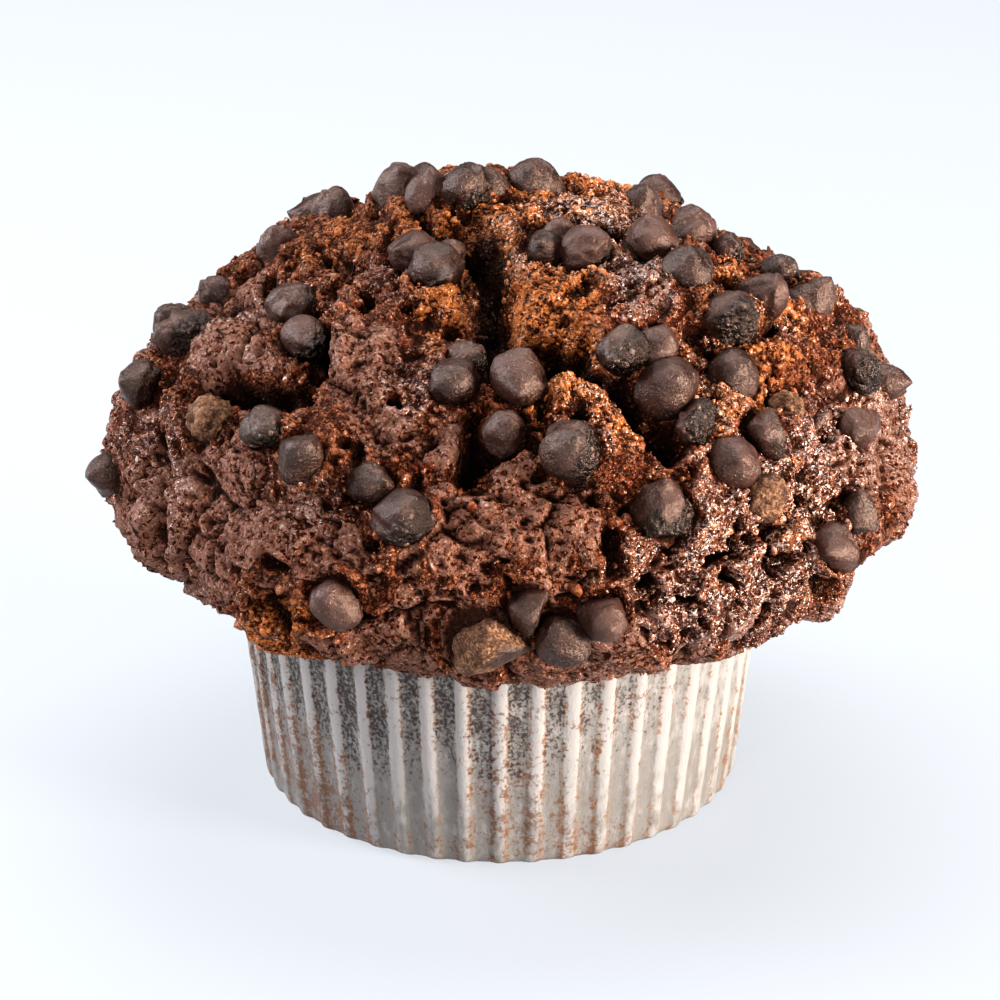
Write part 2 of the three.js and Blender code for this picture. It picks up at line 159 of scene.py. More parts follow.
def unit(vectors: Array) -> Array:
    """Vectors of length 1 with the same directions, row by row."""
    return vectors / np.maximum(np.linalg.norm(vectors, axis=-1, keepdims=True), 1e-9)


# ---------------------------------------------------------------- the front view
@dataclass(frozen=True)
class FrontView:
    """The eye of someone at the table, and the flat view in which the front's chips and crags are placed."""

    distance: float = 400.0
    elevation: float = math.radians(22.5)
    aim_height: float = 31.0
    units: float = 1000.0
    units_per_mm: float = 9.24

    @property
    def towards_eye(self) -> Array:
        """Unit vector from the aim to the eye."""
        return np.array([0.0, -math.cos(self.elevation), math.sin(self.elevation)])

    @property
    def upward(self) -> Array:
        """Unit vector that points up in the view."""
        return np.array([0.0, math.sin(self.elevation), math.cos(self.elevation)])

    @property
    def eye(self) -> Array:
        """Place of the eye, in millimetres."""
        return np.array([0.0, 0.0, self.aim_height]) + self.distance * self.towards_eye

    def sight_lines(self, across: Array, down: Array) -> Array:
        """Unit vectors from the eye through places in the view.

        Args:
            across: units from the view's left edge.
            down: units from its top.

        Returns:
            One row for each place.
        """
        half = self.units / 2
        right = ((np.asarray(across, float) - half) / self.units_per_mm)[..., None] * np.array([1.0, 0.0, 0.0])
        up = ((half - np.asarray(down, float)) / self.units_per_mm)[..., None] * self.upward
        return unit(right + up - self.distance * self.towards_eye)

    def seen_at(self, points: Array) -> tuple[Array, Array]:
        """Where points are seen.

        Args:
            points: places in millimetres, one row each.

        Returns:
            Units across and units down for each.
        """
        ray = points - self.eye
        scale = self.units_per_mm * self.distance / -(ray @ self.towards_eye)
        half = self.units / 2
        return half + scale * ray[:, 0], half - scale * (ray @ self.upward)


VIEW = FrontView()


def patches(rows: Rows, across: Array, down: Array) -> Array:
    """Soft round patches laid over each other in the front view.

    Args:
        rows: across, down, half width and amount of each patch.
        across: units from the view's left edge.
        down: units from its top.

    Returns:
        The sum of the patches' amounts at each place.
    """
    total = np.zeros(len(across))
    for x, y, width, amount in rows:
        total += amount * np.exp(-(((across - x) / width) ** 2) - ((down - y) / width) ** 2)
    return total


# ---------------------------------------------------------------- the crown's form
@dataclass(frozen=True)
class Crack:
    """A crack in the front's crust: its path in the front view, half width there and depth in millimetres."""

    path: tuple[tuple[float, float], ...]
    width: float
    depth: float

    def weight(self, across: Array, down: Array) -> Array:
        """How much of the crack's depth is at each place, from 0 to 1.

        Args:
            across: units from the view's left edge.
            down: units from its top.

        Returns:
            One weight for each place.
        """
        nearest = np.full(len(across), np.inf)
        for (x0, y0), (x1, y1) in zip(self.path, self.path[1:]):
            dx, dy = x1 - x0, y1 - y0
            t = np.clip(((across - x0) * dx + (down - y0) * dy) / (dx * dx + dy * dy), 0.0, 1.0)
            nearest = np.minimum(nearest, np.hypot(across - x0 - t * dx, down - y0 - t * dy))
        return np.exp(-((nearest / self.width) ** 2))


def ragged(across: Array, down: Array) -> tuple[Array, Array]:
    """Places of the front view, moved a little to and fro, so that the sides of a crack run ragged.

    Args:
        across: units from the view's left edge.
        down: units from its top.

    Returns:
        The two numbers for each place, moved.
    """
    place = np.stack([across, down, np.zeros(len(across))], axis=1)
    stray = [9.0 * noise(place, 34.0, turn) + 5.0 * noise(place, 13.0, turn + 1.0) for turn in (101.0, 103.0)]
    return across + stray[0], down + stray[1]


FRONT_CRACKS = (
    Crack(((490, 262), (490, 300), (488, 335), (502, 356)), 24, 7.0),
    Crack(((498, 352), (540, 352), (585, 362), (625, 385), (650, 420), (668, 440)), 15, 4.8),
    Crack(((540, 395), (545, 425), (535, 445), (470, 448)), 9, 2.5),
    Crack(((318, 335), (310, 375), (300, 395), (250, 402), (215, 400)), 15, 5.5),
    Crack(((476, 408), (478, 440), (468, 464)), 11, 4.0),
    Crack(((325, 258), (352, 262), (378, 258), (388, 240)), 9, 3.0),
    Crack(((425, 200), (430, 220), (455, 232), (475, 240)), 10, 3.0),
    Crack(((172, 440), (165, 480), (158, 520), (163, 556)), 7, 1.8),
    Crack(((186, 350), (200, 340), (215, 318), (260, 300)), 8, 1.8),
    Crack(((777, 385), (795, 395), (815, 408)), 10, 2.5),
    Crack(((355, 655), (400, 658), (440, 668), (500, 672)), 6, 1.5),
    Crack(((716, 562), (728, 558)), 9, 4.5),
    Crack(((736, 578), (742, 582)), 6, 3.0),
    Crack(((690, 602), (700, 604)), 6, 3.0),
    Crack(((756, 528), (762, 536)), 6, 3.0),
    Crack(((652, 596), (658, 590)), 6, 2.6),
    Crack(((786, 560), (792, 566)), 6, 2.8),
)

# Plates of crust that stand proud between them, and broad dents:
# across, down, half width in front view units, height in millimetres.
FRONT_PLATES = (
    (235, 345, 50, 1.6),
    (362, 350, 52, 1.4),
    (575, 305, 50, 1.2),
    (655, 285, 45, 0.8),
    (585, 200, 35, 1.0),
    (450, 205, 28, 1.2),
    (300, 245, 40, 0.7),
    (840, 465, 30, 1.0),
    (820, 600, 28, 1.4),
    (140, 515, 24, 0.9),
    (160, 552, 14, 1.0),
    (175, 590, 45, -1.8),
    (105, 505, 34, -2.0),
    (895, 395, 60, -0.9),
    (890, 590, 45, -1.4),
)


@dataclass
class Crown:
    """The form of the muffin's crown, which the crumb, its grains and the chips all follow. Millimetres."""

    radius: float = 43.3
    offset: float = 1.3
    level: float = 36.0
    rise: float = 27.5
    flank: float = 1.1
    top: float = 1.05
    lip_drop: float = 13.8
    lip_radius: float = 27.0
    lip_flank: float = 1.75
    lip_turn: float = 1.0
    plate_count: int = 64
    plate_rise: float = 1.5
    plate_seed: int = 7043
    crack_depth: float = 2.1
    crack_width: float = 1.3
    lump_length: float = 7.0
    lump_height: float = 1.2
    front_calm: float = 0.6
    plates: list[tuple[Array, float]] = field(default_factory=list)

    def __post_init__(self) -> None:
        """Scatters the crust's plates."""
        draw = draws_from(self.plate_seed)
        for i in range(self.plate_count):
            bearing = i * GOLDEN_ANGLE + 0.8 * (next(draw) - 0.5)
            slope = math.radians(90 - 118 * math.sqrt((i + next(draw)) / self.plate_count))
            reach, height = self.upper(slope) if slope > 0 else self.lower(-slope)
            middle = np.array([self.offset + reach * math.cos(bearing), reach * math.sin(bearing), height])
            self.plates.append((middle, self.plate_rise * next(draw)))

    def upper(self, angle: float) -> tuple[float, float]:
        """The upper outline's distance from its axis and its height.

        Args:
            angle: 0 at the widest ring, a right angle at the top, in radians.

        Returns:
            Distance and height in millimetres.
        """
        reach = self.radius * max(0.0, math.cos(angle)) ** self.flank
        return reach, self.level + self.rise * math.sin(angle) ** self.top

    def lower(self, angle: float) -> tuple[float, float]:
        """The underside's distance from the axis and its height.

        Args:
            angle: 0 at the widest ring, a right angle where it meets the stem, in radians.

        Returns:
            Distance and height in millimetres.
        """
        span = self.radius - self.lip_radius
        reach = self.lip_radius + span * max(0.0, math.cos(angle)) ** self.lip_flank
        return reach, self.level - self.lip_drop * math.sin(angle) ** self.lip_turn

    def outside(self, points: Array) -> Array:
        """Roughly how far places are outside the smooth crown.

        Args:
            points: places in millimetres, one row each.

        Returns:
            Millimetres, negative inside.
        """
        reach = np.hypot(points[:, 0] - self.offset, points[:, 1])
        rise = points[:, 2] - self.level
        above = rise >= 0
        wide = np.where(above, self.radius, self.radius - self.lip_radius)
        high = np.where(above, self.rise, self.lip_drop)
        flank = 2.0 / np.where(above, self.flank, self.lip_flank)
        top = 2.0 / np.where(above, self.top, self.lip_turn)
        sideways = np.maximum(0.0, np.where(above, reach, reach - self.lip_radius)) / wide
        upwards = np.abs(rise) / high
        level = sideways**flank + upwards**top - 1.0
        slope_out = flank * np.power(np.maximum(sideways, 1e-12), flank - 1.0) / wide
        slope_up = top * np.power(np.maximum(upwards, 1e-12), top - 1.0) / high
        return level / np.maximum(1e-6, np.hypot(slope_out, slope_up))

    def normals(self, points: Array) -> Array:
        """Outward directions of the smooth crown.

        Args:
            points: places near it in millimetres, one row each.

        Returns:
            Unit vectors, one row each.
        """
        step = 0.05
        slopes = []
        for axis in np.eye(3):
            slopes.append(self.outside(points + step * axis) - self.outside(points - step * axis))
        return unit(np.stack(slopes, axis=1))

    def swell(self, points: Array) -> Array:
        """Low swells that keep the crown from being round.

        Args:
            points: places in millimetres, one row each.

        Returns:
            Millimetres for each place.
        """
        x, y, z = points.T
        return (
            0.5 * np.sin(0.11 * x + 0.07 * y + 0.9)
            + 0.5 * np.sin(-0.09 * x + 0.12 * y + 0.06 * z + 2.3)
            + 0.4 * np.sin(0.19 * x - 0.15 * y + 0.15 * z)
            + 0.4 * np.sin(0.22 * x + 0.2 * y - 0.1 * z + 4.1)
        )

    def plate_relief(self, points: Array) -> Array:
        """Relief of the crust's plates, each at its own height and rounded down into the crack round it.

        Args:
            points: places in millimetres, one row each.

        Returns:
            Millimetres for each place.
        """
        nearest = np.full(len(points), np.inf)
        second = nearest.copy()
        rise = np.zeros(len(points))
        for middle, height in self.plates:
            distance = np.linalg.norm(points - middle, axis=1)
            closer = distance < nearest
            second = np.where(closer, nearest, np.minimum(second, distance))
            rise = np.where(closer, height, rise)
            nearest = np.where(closer, distance, nearest)
        from_crack = second - nearest
        crack = np.exp(-((from_crack / (2 * self.crack_width)) ** 2))
        return rise * smooth_step(0, 3 * self.crack_width, from_crack) - self.crack_depth * crack

    def in_front(self, normals: Array) -> Array:
        """How much the front view's relief holds, from 0 to 1, for a surface's outward directions."""
        return smooth_step(-0.5, -0.1, normals @ VIEW.towards_eye)

    def crags(self, points: Array, normals: Array) -> Array:
        """Height of the crags above the smooth crown.

        Args:
            points: places on or near it in millimetres, one row each.
            normals: its outward directions there.

        Returns:
            Millimetres for each place.
        """
        in_front = self.in_front(normals)
        across, down = VIEW.seen_at(points)
        front = patches(FRONT_PLATES, across, down)
        across, down = ragged(across, down)
        for crack in FRONT_CRACKS:
            front -= crack.depth * crack.weight(across, down)
        lumps = self.lump_height * noise(points, self.lump_length)
        far = (1.0 - self.front_calm * in_front) * self.plate_relief(points)
        return self.swell(points) + lumps + far + in_front * front


# ---------------------------------------------------------------- nodes, colours and finishes
class Kind(Enum):
    """The kinds of node that the finishes are made of."""

    PLACE = "ShaderNodeTexCoord"
    STRETCH = "ShaderNodeMapping"
    CARRIED = "ShaderNodeAttribute"
    NOISE = "ShaderNodeTexNoise"
    CELLS = "ShaderNodeTexVoronoi"
    SPLIT = "ShaderNodeSeparateColor"
    MATH = "ShaderNodeMath"
    VECTOR = "ShaderNodeVectorMath"
    RANGE = "ShaderNodeMapRange"
    BLEND = "ShaderNodeMix"
    BUMP = "ShaderNodeBump"
    SURFACE = "ShaderNodeBsdfPrincipled"
    OUTPUT = "ShaderNodeOutputMaterial"
    SKY = "ShaderNodeBackground"
    WORLD = "ShaderNodeOutputWorld"


SOFT = {"interpolation_type": "SMOOTHSTEP"}
Socket = bpy.types.NodeSocket
Maker = Callable[..., Socket]


def linear(code: str) -> tuple[float, float, float, float]:
    """An sRGB colour as the linear one that the shaders take.

    Args:
        code: the colour as "#rrggbb".

    Returns:
        Linear red, green, blue and an alpha of 1.
    """
    shares = [int(code[i : i + 2], 16) / 255 for i in (1, 3, 5)]
    red, green, blue = (s / 12.92 if s <= 0.04045 else ((s + 0.055) / 1.055) ** 2.4 for s in shares)
    return red, green, blue, 1.0


def add_node(
    tree: bpy.types.NodeTree,
    kind: Kind,
    inputs: dict[str | int, object] | None = None,
    output: str | int = 0,
    **settings: object,
) -> Socket | None:
    """Adds a node with its settings and links.

    Args:
        tree: the material's or world's node tree.
        kind: the kind of node.
        inputs: what goes into its sockets, by name or number: a value, or another node's socket to link.
        output: which of its sockets to hand back.
        settings: the node's own properties.

    Returns:
        One output socket of the new node, or None where it has none.
    """
    node = tree.nodes.new(kind.value)
    for name, value in settings.items():
        setattr(node, name, value)
    for name, value in (inputs or {}).items():
        socket = node.inputs[name]
        if isinstance(value, Socket):
            tree.links.new(value, socket)
        else:
            socket.default_value = value
    return node.outputs[output] if node.outputs else None


def weighed(node: Maker, start: object, *terms: tuple[object, float]) -> object:
    """A sum of numbers, each times its weight.

    Args:
        node: adds a node to the tree.
        start: what the sum starts from.
        terms: each number's socket, with its weight.

    Returns:
        The sum's socket.
    """
    total: object = start
    for value, weight in terms:
        total = node(Kind.MATH, {0: value, 1: weight, 2: total}, operation="MULTIPLY_ADD")
    return total


def layered(node: Maker, colour: object, *coats: tuple[object, ...]) -> object:
    """A colour with others laid over it in turn.

    Args:
        node: adds a node to the tree.
        colour: the lowest colour, as "#rrggbb" or a socket.
        coats: for each colour above it, the colour and how much of it there is. Three numbers may follow: where
            it starts to show, where it shows most, and how much of what lies under it it then covers.

    Returns:
        The colour's socket.
    """
    under: object = linear(colour) if isinstance(colour, str) else colour
    for coat, share, *span in coats:
        over = linear(coat) if isinstance(coat, str) else coat
        if span:
            share = node(Kind.RANGE, {0: share, 1: span[0], 2: span[1], 4: span[2]}, **SOFT)
        under = node(Kind.BLEND, {0: share, 6: under, 7: over}, 2, data_type="RGBA")
    return under


def per_metre(length_mm: float) -> float:
    """The scale of a pattern whose features are this many millimetres long."""
    return 1000.0 / length_mm


class Finish:
    """A material made from nodes. A finish of its own says its name and what its nodes are."""

    name = "finish"

    def build(self) -> bpy.types.Material:
        """Makes the material, or finds it where it is made already.

        Returns:
            The material, its surface linked.
        """
        if self.name in bpy.data.materials:
            return bpy.data.materials[self.name]
        material = bpy.data.materials.new(self.name)
        material.use_nodes = True
        material.node_tree.nodes.clear()
        node = partial(add_node, material.node_tree)
        node(Kind.OUTPUT, {"Surface": self.surface(node, node(Kind.PLACE, output="Object"))})
        return material

    def surface(self, node: Maker, place: Socket) -> Socket:
        """The surface's shader.

        Args:
            node: adds a node to the material's tree.
            place: the Object coordinates.

        Returns:
            The shader's socket.
        """
        raise NotImplementedError


@dataclass(frozen=True)
class CrumbPatterns:
    """The patterns that the crumb's colours, film and relief share: numbers from about 0 to 1.

    The first six are carried by the mesh, and the others are drawn by nodes.
    """

    torn: Socket
    hollow: Socket
    crest: Socket
    fresh: Socket
    loose: Socket
    moist: Socket
    broad: Socket
    wrinkle: Socket
    grit: Socket
    grain: Socket
    clump: Socket
    grain_tone: Socket
    clump_tone: Socket
    thread: Socket
    pore: Socket
    pore_rim: Socket
    crease: Socket
    pale: Socket


@dataclass(frozen=True)
class BakedCrumb(Finish):
    """Baked chocolate batter. Its skin dried to a satin brown crust, finely specked and full of small pores.

    Where it tore in rising, the open crumb is moist grains, orange brown where light gets into them. A film of
    fat and sugar makes the grains glint, but not the pores and gaps, which trap the light. Shade in pores,
    creases and hollows, and light on crests and glints, are painted into the colour.
    """

    name: str = "baked chocolate crumb"
    skin_dark: str = "#341a0d"
    skin_light: str = "#765649"
    skin_pale: str = "#b99c8d"
    # painted shade for the torn crumb's creases and hollows
    torn_shade: str = "#2b0c05"
    torn_dark: str = "#542512"
    torn_light: str = "#87563c"
    torn_fresh: str = "#ab6b3c"
    # pale sugar, and painted glints where moist threads catch light
    frost_and_glint: str = "#e2cdc1"
    rim: str = "#6f3418"
    # painted shade for pores and the deepest hollows
    pit: str = "#120402"
    specular: float = 0.4
    gloss: str = "#ffc8a4"
    film_roughness: float = 0.14
    film_ior: float = 1.7

    def patterns(self, node: Maker, place: Socket) -> CrumbPatterns:
        """Draws the patterns.

        Args:
            node: adds a node to the material's tree.
            place: the Object coordinates.

        Returns:
            The patterns' sockets.
        """
        names = ("torn", "hollow", "crest", "fresh", "loose", "moist")
        carried = {name: node(Kind.CARRIED, output="Fac", attribute_name=name) for name in names}
        # colour drifts over 5 mm, the crust wrinkles every 0.8 mm, and the finest grit is 0.3 mm
        broad = node(Kind.NOISE, {"Vector": place, "Scale": per_metre(5.0), "Detail": 3.0})
        wrinkle = node(Kind.NOISE, {"Vector": place, "Scale": per_metre(0.8), "Detail": 4.0, "Roughness": 0.7})
        grit = node(Kind.NOISE, {"Vector": place, "Scale": per_metre(0.3), "Detail": 1.0, "Roughness": 0.6})
        push = node(Kind.NOISE, {"Vector": place, "Scale": per_metre(0.6), "Detail": 2.0}, "Color")
        bent = node(Kind.VECTOR, {0: push, 1: (0.5 * METRES,) * 3, 2: place}, operation="MULTIPLY_ADD")
        # grains of baked batter 0.45 mm wide in clumps of 1.2 mm, each of its own tone
        grain, clump = (
            node(Kind.CELLS, {"Vector": bent, "Scale": per_metre(width)}, "Distance") for width in (0.45, 1.2)
        )
        grain_tone, clump_tone = (
            node(Kind.SPLIT, {"Color": cells.node.outputs["Color"]}, "Red") for cells in (grain, clump)
        )
        # threads that the batter drew as it tore, some 0.85 mm apart
        veins = node(Kind.NOISE, {"Vector": bent, "Scale": per_metre(0.85), "Detail": 2.0, "Roughness": 0.6})
        astray = node(Kind.MATH, {0: weighed(node, -0.5, (veins, 1.0))}, operation="ABSOLUTE")
        thread = node(Kind.RANGE, {0: astray, 1: 0.01, 2: 0.08, 3: 1.0, 4: 0.0}, **SOFT)
        # ragged pores 0.2 to 0.5 mm wide, with a brown rim
        holes = node(Kind.NOISE, {"Vector": bent, "Scale": per_metre(0.55), "Detail": 3.0, "Roughness": 0.65})
        away = weighed(node, 0.15, (holes, 1.0), (broad, -0.31), (carried["loose"], 0.3))
        pore = node(Kind.RANGE, {0: away, 1: 0.385, 2: 0.43, 3: 0.95, 4: 0.0}, **SOFT)
        pore_rim = node(Kind.RANGE, {0: away, 1: 0.41, 2: 0.5, 3: 0.9, 4: 0.0}, **SOFT)
        # creases between grains and clumps, which are darkened as painted shade, weaker on crests, on loose bits
        # and under threads
        between = weighed(node, 0.05, (grain, 0.55), (clump, 0.5), (carried["crest"], -0.15), (wrinkle, 0.4))
        crease = weighed(node, between, (carried["loose"], -0.3), (thread, -0.25))
        pale = weighed(node, -0.1, (grit, 1.0), (grain_tone, 0.15))
        return CrumbPatterns(
            **carried,
            broad=broad,
            wrinkle=wrinkle,
            grit=grit,
            grain=grain,
            clump=clump,
            grain_tone=grain_tone,
            clump_tone=clump_tone,
            thread=thread,
            pore=pore,
            pore_rim=pore_rim,
            crease=crease,
            pale=pale,
        )

    def skin(self, node: Maker, on: CrumbPatterns) -> Socket:
        """The colour of whole crust: dark, lighter where it dried and, as painted light, on crests, with pale
        specks of sugar.

        Args:
            node: adds a node to the material's tree.
            on: the patterns.

        Returns:
            The colour's socket.
        """
        fine = weighed(node, -0.6, (on.grit, 1.1), (on.wrinkle, 0.7))
        dryness_and_crest_light = weighed(node, fine, (on.broad, 0.4), (on.grain_tone, 0.2), (on.crest, 0.25))
        return layered(
            node,
            self.skin_dark,
            (self.skin_light, dryness_and_crest_light, 0.12, 0.75, 1.0),
            (self.skin_pale, on.pale, 0.58, 0.72, 0.55),
            (self.rim, on.pore_rim),
        )

    def open_crumb(self, node: Maker, on: CrumbPatterns) -> Socket:
        """The colour of torn crumb: painted shade in its creases, lighter on grains, painted light on crests and
        threads, frosted sugar and painted glints on moist threads.

        Args:
            node: adds a node to the material's tree.
            on: the patterns.

        Returns:
            The colour's socket.
        """
        # lighter on grains, and painted light on crests and on threads
        of_grains = weighed(node, -0.55, (on.grain_tone, 0.25), (on.clump_tone, 0.3), (on.grit, 0.7))
        tone = weighed(node, of_grains, (on.crest, 0.5), (on.fresh, 0.3), (on.thread, 0.35))
        glint = node(Kind.MATH, {0: on.thread, 1: on.moist}, operation="MULTIPLY")
        # pale sugar specks, with painted glints where threads are moist
        sugar = weighed(node, -0.03, (on.pale, 0.5), (on.wrinkle, 0.45), (glint, 0.16), (on.fresh, 0.03))
        return layered(
            node,
            self.torn_dark,
            (layered(node, self.torn_light, (self.torn_fresh, on.fresh)), tone, 0.1, 0.8, 1.0),
            (self.torn_shade, on.crease, 0.42, 0.84, 1.0),
            (self.frost_and_glint, sugar, 0.55, 0.68, 0.75),
        )

    def film(self, node: Maker, on: CrumbPatterns) -> tuple[Socket, Socket]:
        """The film of fat and sugar, in patches of 0.3 mm: thin on skin, thick on the tops of moist grains.

        Args:
            node: adds a node to the material's tree.
            on: the patterns.

        Returns:
            The roughness under it and how much of it there is, as sockets.
        """
        of_grains = weighed(node, -0.24, (on.torn, 0.11), (on.grit, 0.7), (on.wrinkle, 0.4))
        wet = weighed(node, of_grains, (on.crest, 0.35), (on.crease, -0.2), (on.thread, 0.25))
        rough = node(Kind.RANGE, {0: wet, 1: 0.1, 2: 0.7, 3: 0.85, 4: 0.28}, **SOFT)
        film = node(Kind.RANGE, {0: weighed(node, -0.4, (wet, 1.0), (on.moist, 1.1)), 1: 0.3, 2: 0.75}, **SOFT)
        shut = weighed(node, 0.0, (on.hollow, 2.4), (on.pore_rim, 1.2))
        bare = node(Kind.MATH, {0: 1.0, 1: shut}, operation="SUBTRACT", use_clamp=True)
        return rough, node(Kind.MATH, {0: film, 1: bare}, operation="MULTIPLY")

    def relief(self, node: Maker, on: CrumbPatterns, edge: Socket) -> Socket:
        """The fine relief, with heights in millimetres, flatter on loose bits.

        Args:
            node: adds a node to the material's tree.
            on: the patterns.
            edge: 0 on skin to 1 on torn crumb.

        Returns:
            The normal's socket.
        """
        skin = weighed(node, 0.0, (on.wrinkle, 0.34), (on.grain, -0.12), (on.grit, 0.12), (on.pore, -0.25))
        of_grains = weighed(node, 0.0, (on.grain, -0.26), (on.clump, -0.5), (on.grit, 0.1))
        open_crumb = weighed(node, of_grains, (on.pore, -0.15), (on.thread, 0.14))
        height = node(Kind.BLEND, {0: edge, 2: skin, 3: open_crumb})
        strength = weighed(node, 1.0, (on.loose, -0.6))
        return node(Kind.BUMP, {"Height": height, "Distance": METRES, "Strength": strength})

    def surface(self, node: Maker, place: Socket) -> Socket:
        """The crumb's shader.

        Args:
            node: adds a node to the material's tree.
            place: the Object coordinates.

        Returns:
            The shader's socket.
        """
        on = self.patterns(node, place)
        ragged_edge = weighed(node, 0.0, (on.torn, 1.0), (on.wrinkle, 0.9))
        edge = node(Kind.RANGE, {0: ragged_edge, 1: 0.8, 2: 1.1}, **SOFT)
        # painted shade: pores and the deepest hollows take the near-black pit colour, and other hollows darken
        shade_of_hollows = node(Kind.RANGE, {0: on.hollow, 1: 0.0, 2: 0.75, 3: 0.0, 4: 0.85})
        colour = layered(
            node,
            self.skin(node, on),
            (self.pit, on.pore),
            (self.open_crumb(node, on), edge),
            (self.torn_shade, shade_of_hollows),
            (self.pit, on.hollow, 0.6, 1.0, 0.95),
        )
        rough, film = self.film(node, on)
        normal = self.relief(node, on, edge)
        return node(
            Kind.SURFACE,
            {
                "Base Color": colour,
                "Roughness": rough,
                "IOR": 1.45,
                "Specular IOR Level": self.specular,
                "Specular Tint": linear(self.gloss),
                "Coat Weight": film,
                "Coat Roughness": self.film_roughness,
                "Coat IOR": self.film_ior,
                "Normal": normal,
                "Coat Normal": normal,
            },
        )


@dataclass(frozen=True)
class DarkChocolate(Finish):
    """Dark baking chocolate, cast in drops. Baking dulled it to a brown grey bloom with soft highlights.

    Some chips are scorched and pitted on one side, and some carry a tan coat of dry batter.
    """

    name: str = "dark chocolate with bloom"
    body: str = "#190a06"
    bloom: str = "#442d26"
    dust: str = "#9a7b6c"
    scorched: str = "#0d0503"
    ash: str = "#25150e"
    coat: str = "#906c50"
    batter: str = "#4a2e1d"
    gloss: str = "#ffe4d4"
    specular: float = 0.85
    roughness: float = 0.29

    def burnt(self, node: Maker, grain: Socket, grain_tone: Socket) -> Socket:
        """The colour of a scorched side: burnt sugar in grains, black with grey ash.

        Args:
            node: adds a node to the material's tree.
            grain: the distance from each grain's middle.
            grain_tone: each grain's own tone.

        Returns:
            The colour's socket.
        """
        return layered(
            node,
            self.scorched,
            (self.ash, grain_tone, 0.3, 0.8, 1.0),
            (self.dust, grain_tone, 0.9, 0.98, 0.4),
            (self.scorched, grain, 0.4, 0.75, 1.0),
        )

    def coating(self, node: Maker, grain: Socket, patch: Socket) -> Socket:
        """The colour of a coat of dry batter: tan and brown patches, darker between the grains.

        Args:
            node: adds a node to the material's tree.
            grain: the distance from each grain's middle.
            patch: how light each patch is.

        Returns:
            The colour's socket.
        """
        return layered(
            node,
            self.scorched,
            (self.batter, patch, 0.12, 0.3, 1.0),
            (self.coat, patch, 0.34, 0.62, 1.0),
            (self.batter, grain, 0.5, 0.85, 0.4),
        )

    def surface(self, node: Maker, place: Socket) -> Socket:
        """The chips' shader.

        Args:
            node: adds a node to the material's tree.
            place: the Object coordinates.

        Returns:
            The shader's socket.
        """
        carried = ("scorched", "coated", "tone")
        scorched, coated, tone = (node(Kind.CARRIED, output="Fac", attribute_name=name) for name in carried)
        # bloom drifts over 2.2 mm, its powder is 0.25 mm fine, and specks of crumb 0.7 mm apart cling to it
        broad = node(Kind.NOISE, {"Vector": place, "Scale": per_metre(2.2), "Detail": 4.0})
        powder = node(Kind.NOISE, {"Vector": place, "Scale": per_metre(0.25), "Detail": 3.0, "Roughness": 0.7})
        speck = node(Kind.CELLS, {"Vector": place, "Scale": per_metre(0.7)}, "Distance")
        # burnt sugar and batter lie in grains 0.5 mm wide
        grain = node(Kind.CELLS, {"Vector": place, "Scale": per_metre(0.5)}, "Distance")
        speck_size, grain_tone = (
            node(Kind.SPLIT, {"Color": cells.node.outputs["Color"]}, "Red") for cells in (speck, grain)
        )
        near = weighed(node, 0.04, (speck, 1.0), (speck_size, -0.2), (powder, 0.1))
        crumb = node(Kind.RANGE, {0: near, 1: 0.0, 2: 0.05, 3: 0.6, 4: 0.0}, **SOFT)
        bloomed = weighed(node, -0.7, (broad, 1.1), (tone, 0.35), (powder, 0.9))
        patch = weighed(node, -0.78, (grain_tone, 0.2), (broad, 1.0), (powder, 1.2))
        colour = layered(
            node,
            self.body,
            (self.bloom, bloomed, 0.15, 0.7, 1.0),
            (self.dust, powder, 0.58, 0.72, 0.6),
            (self.coat, crumb),
            (self.burnt(node, grain, grain_tone), scorched),
            (self.coating(node, grain, patch), coated),
        )
        dull = weighed(node, self.roughness - 0.12, (powder, 0.26), (tone, 0.1))
        rough = weighed(node, dull, (coated, 0.4), (scorched, -0.1))
        # where the melt folded over itself, a thin raised line
        flow = node(Kind.NOISE, {"Vector": place, "Scale": per_metre(2.8), "Detail": 2.0, "Distortion": 0.4})
        apart = node(Kind.MATH, {0: weighed(node, -0.5, (flow, 1.0))}, operation="ABSOLUTE")
        along = node(Kind.RANGE, {0: broad, 1: 0.45, 2: 0.6, 3: 0.0, 4: 1.0}, **SOFT)
        fold = node(Kind.RANGE, {0: apart, 1: 0.0, 2: 0.03, 3: along, 4: 0.0}, **SOFT)
        # heights in millimetres, grainy where it is scorched or coated
        grainy = node(Kind.MATH, {0: scorched, 1: coated}, operation="MAXIMUM")
        lumpy = weighed(node, 0.2, (grain, -0.24), (powder, 0.1))
        lumps = node(Kind.MATH, {0: lumpy, 1: grainy}, operation="MULTIPLY")
        dent = node(Kind.NOISE, {"Vector": place, "Scale": per_metre(0.9), "Detail": 3.0, "Roughness": 0.6})
        smooth = weighed(node, 0.0, (powder, 0.13), (dent, 0.15), (broad, 0.12))
        height = weighed(node, smooth, (lumps, 1.0), (fold, 0.035), (crumb, 0.05))
        return node(
            Kind.SURFACE,
            {
                "Base Color": colour,
                "Roughness": rough,
                "IOR": 1.48,
                "Specular IOR Level": self.specular,
                "Specular Tint": linear(self.gloss),
                "Normal": node(Kind.BUMP, {"Height": height, "Distance": METRES, "Strength": 1.0}),
            },
        )


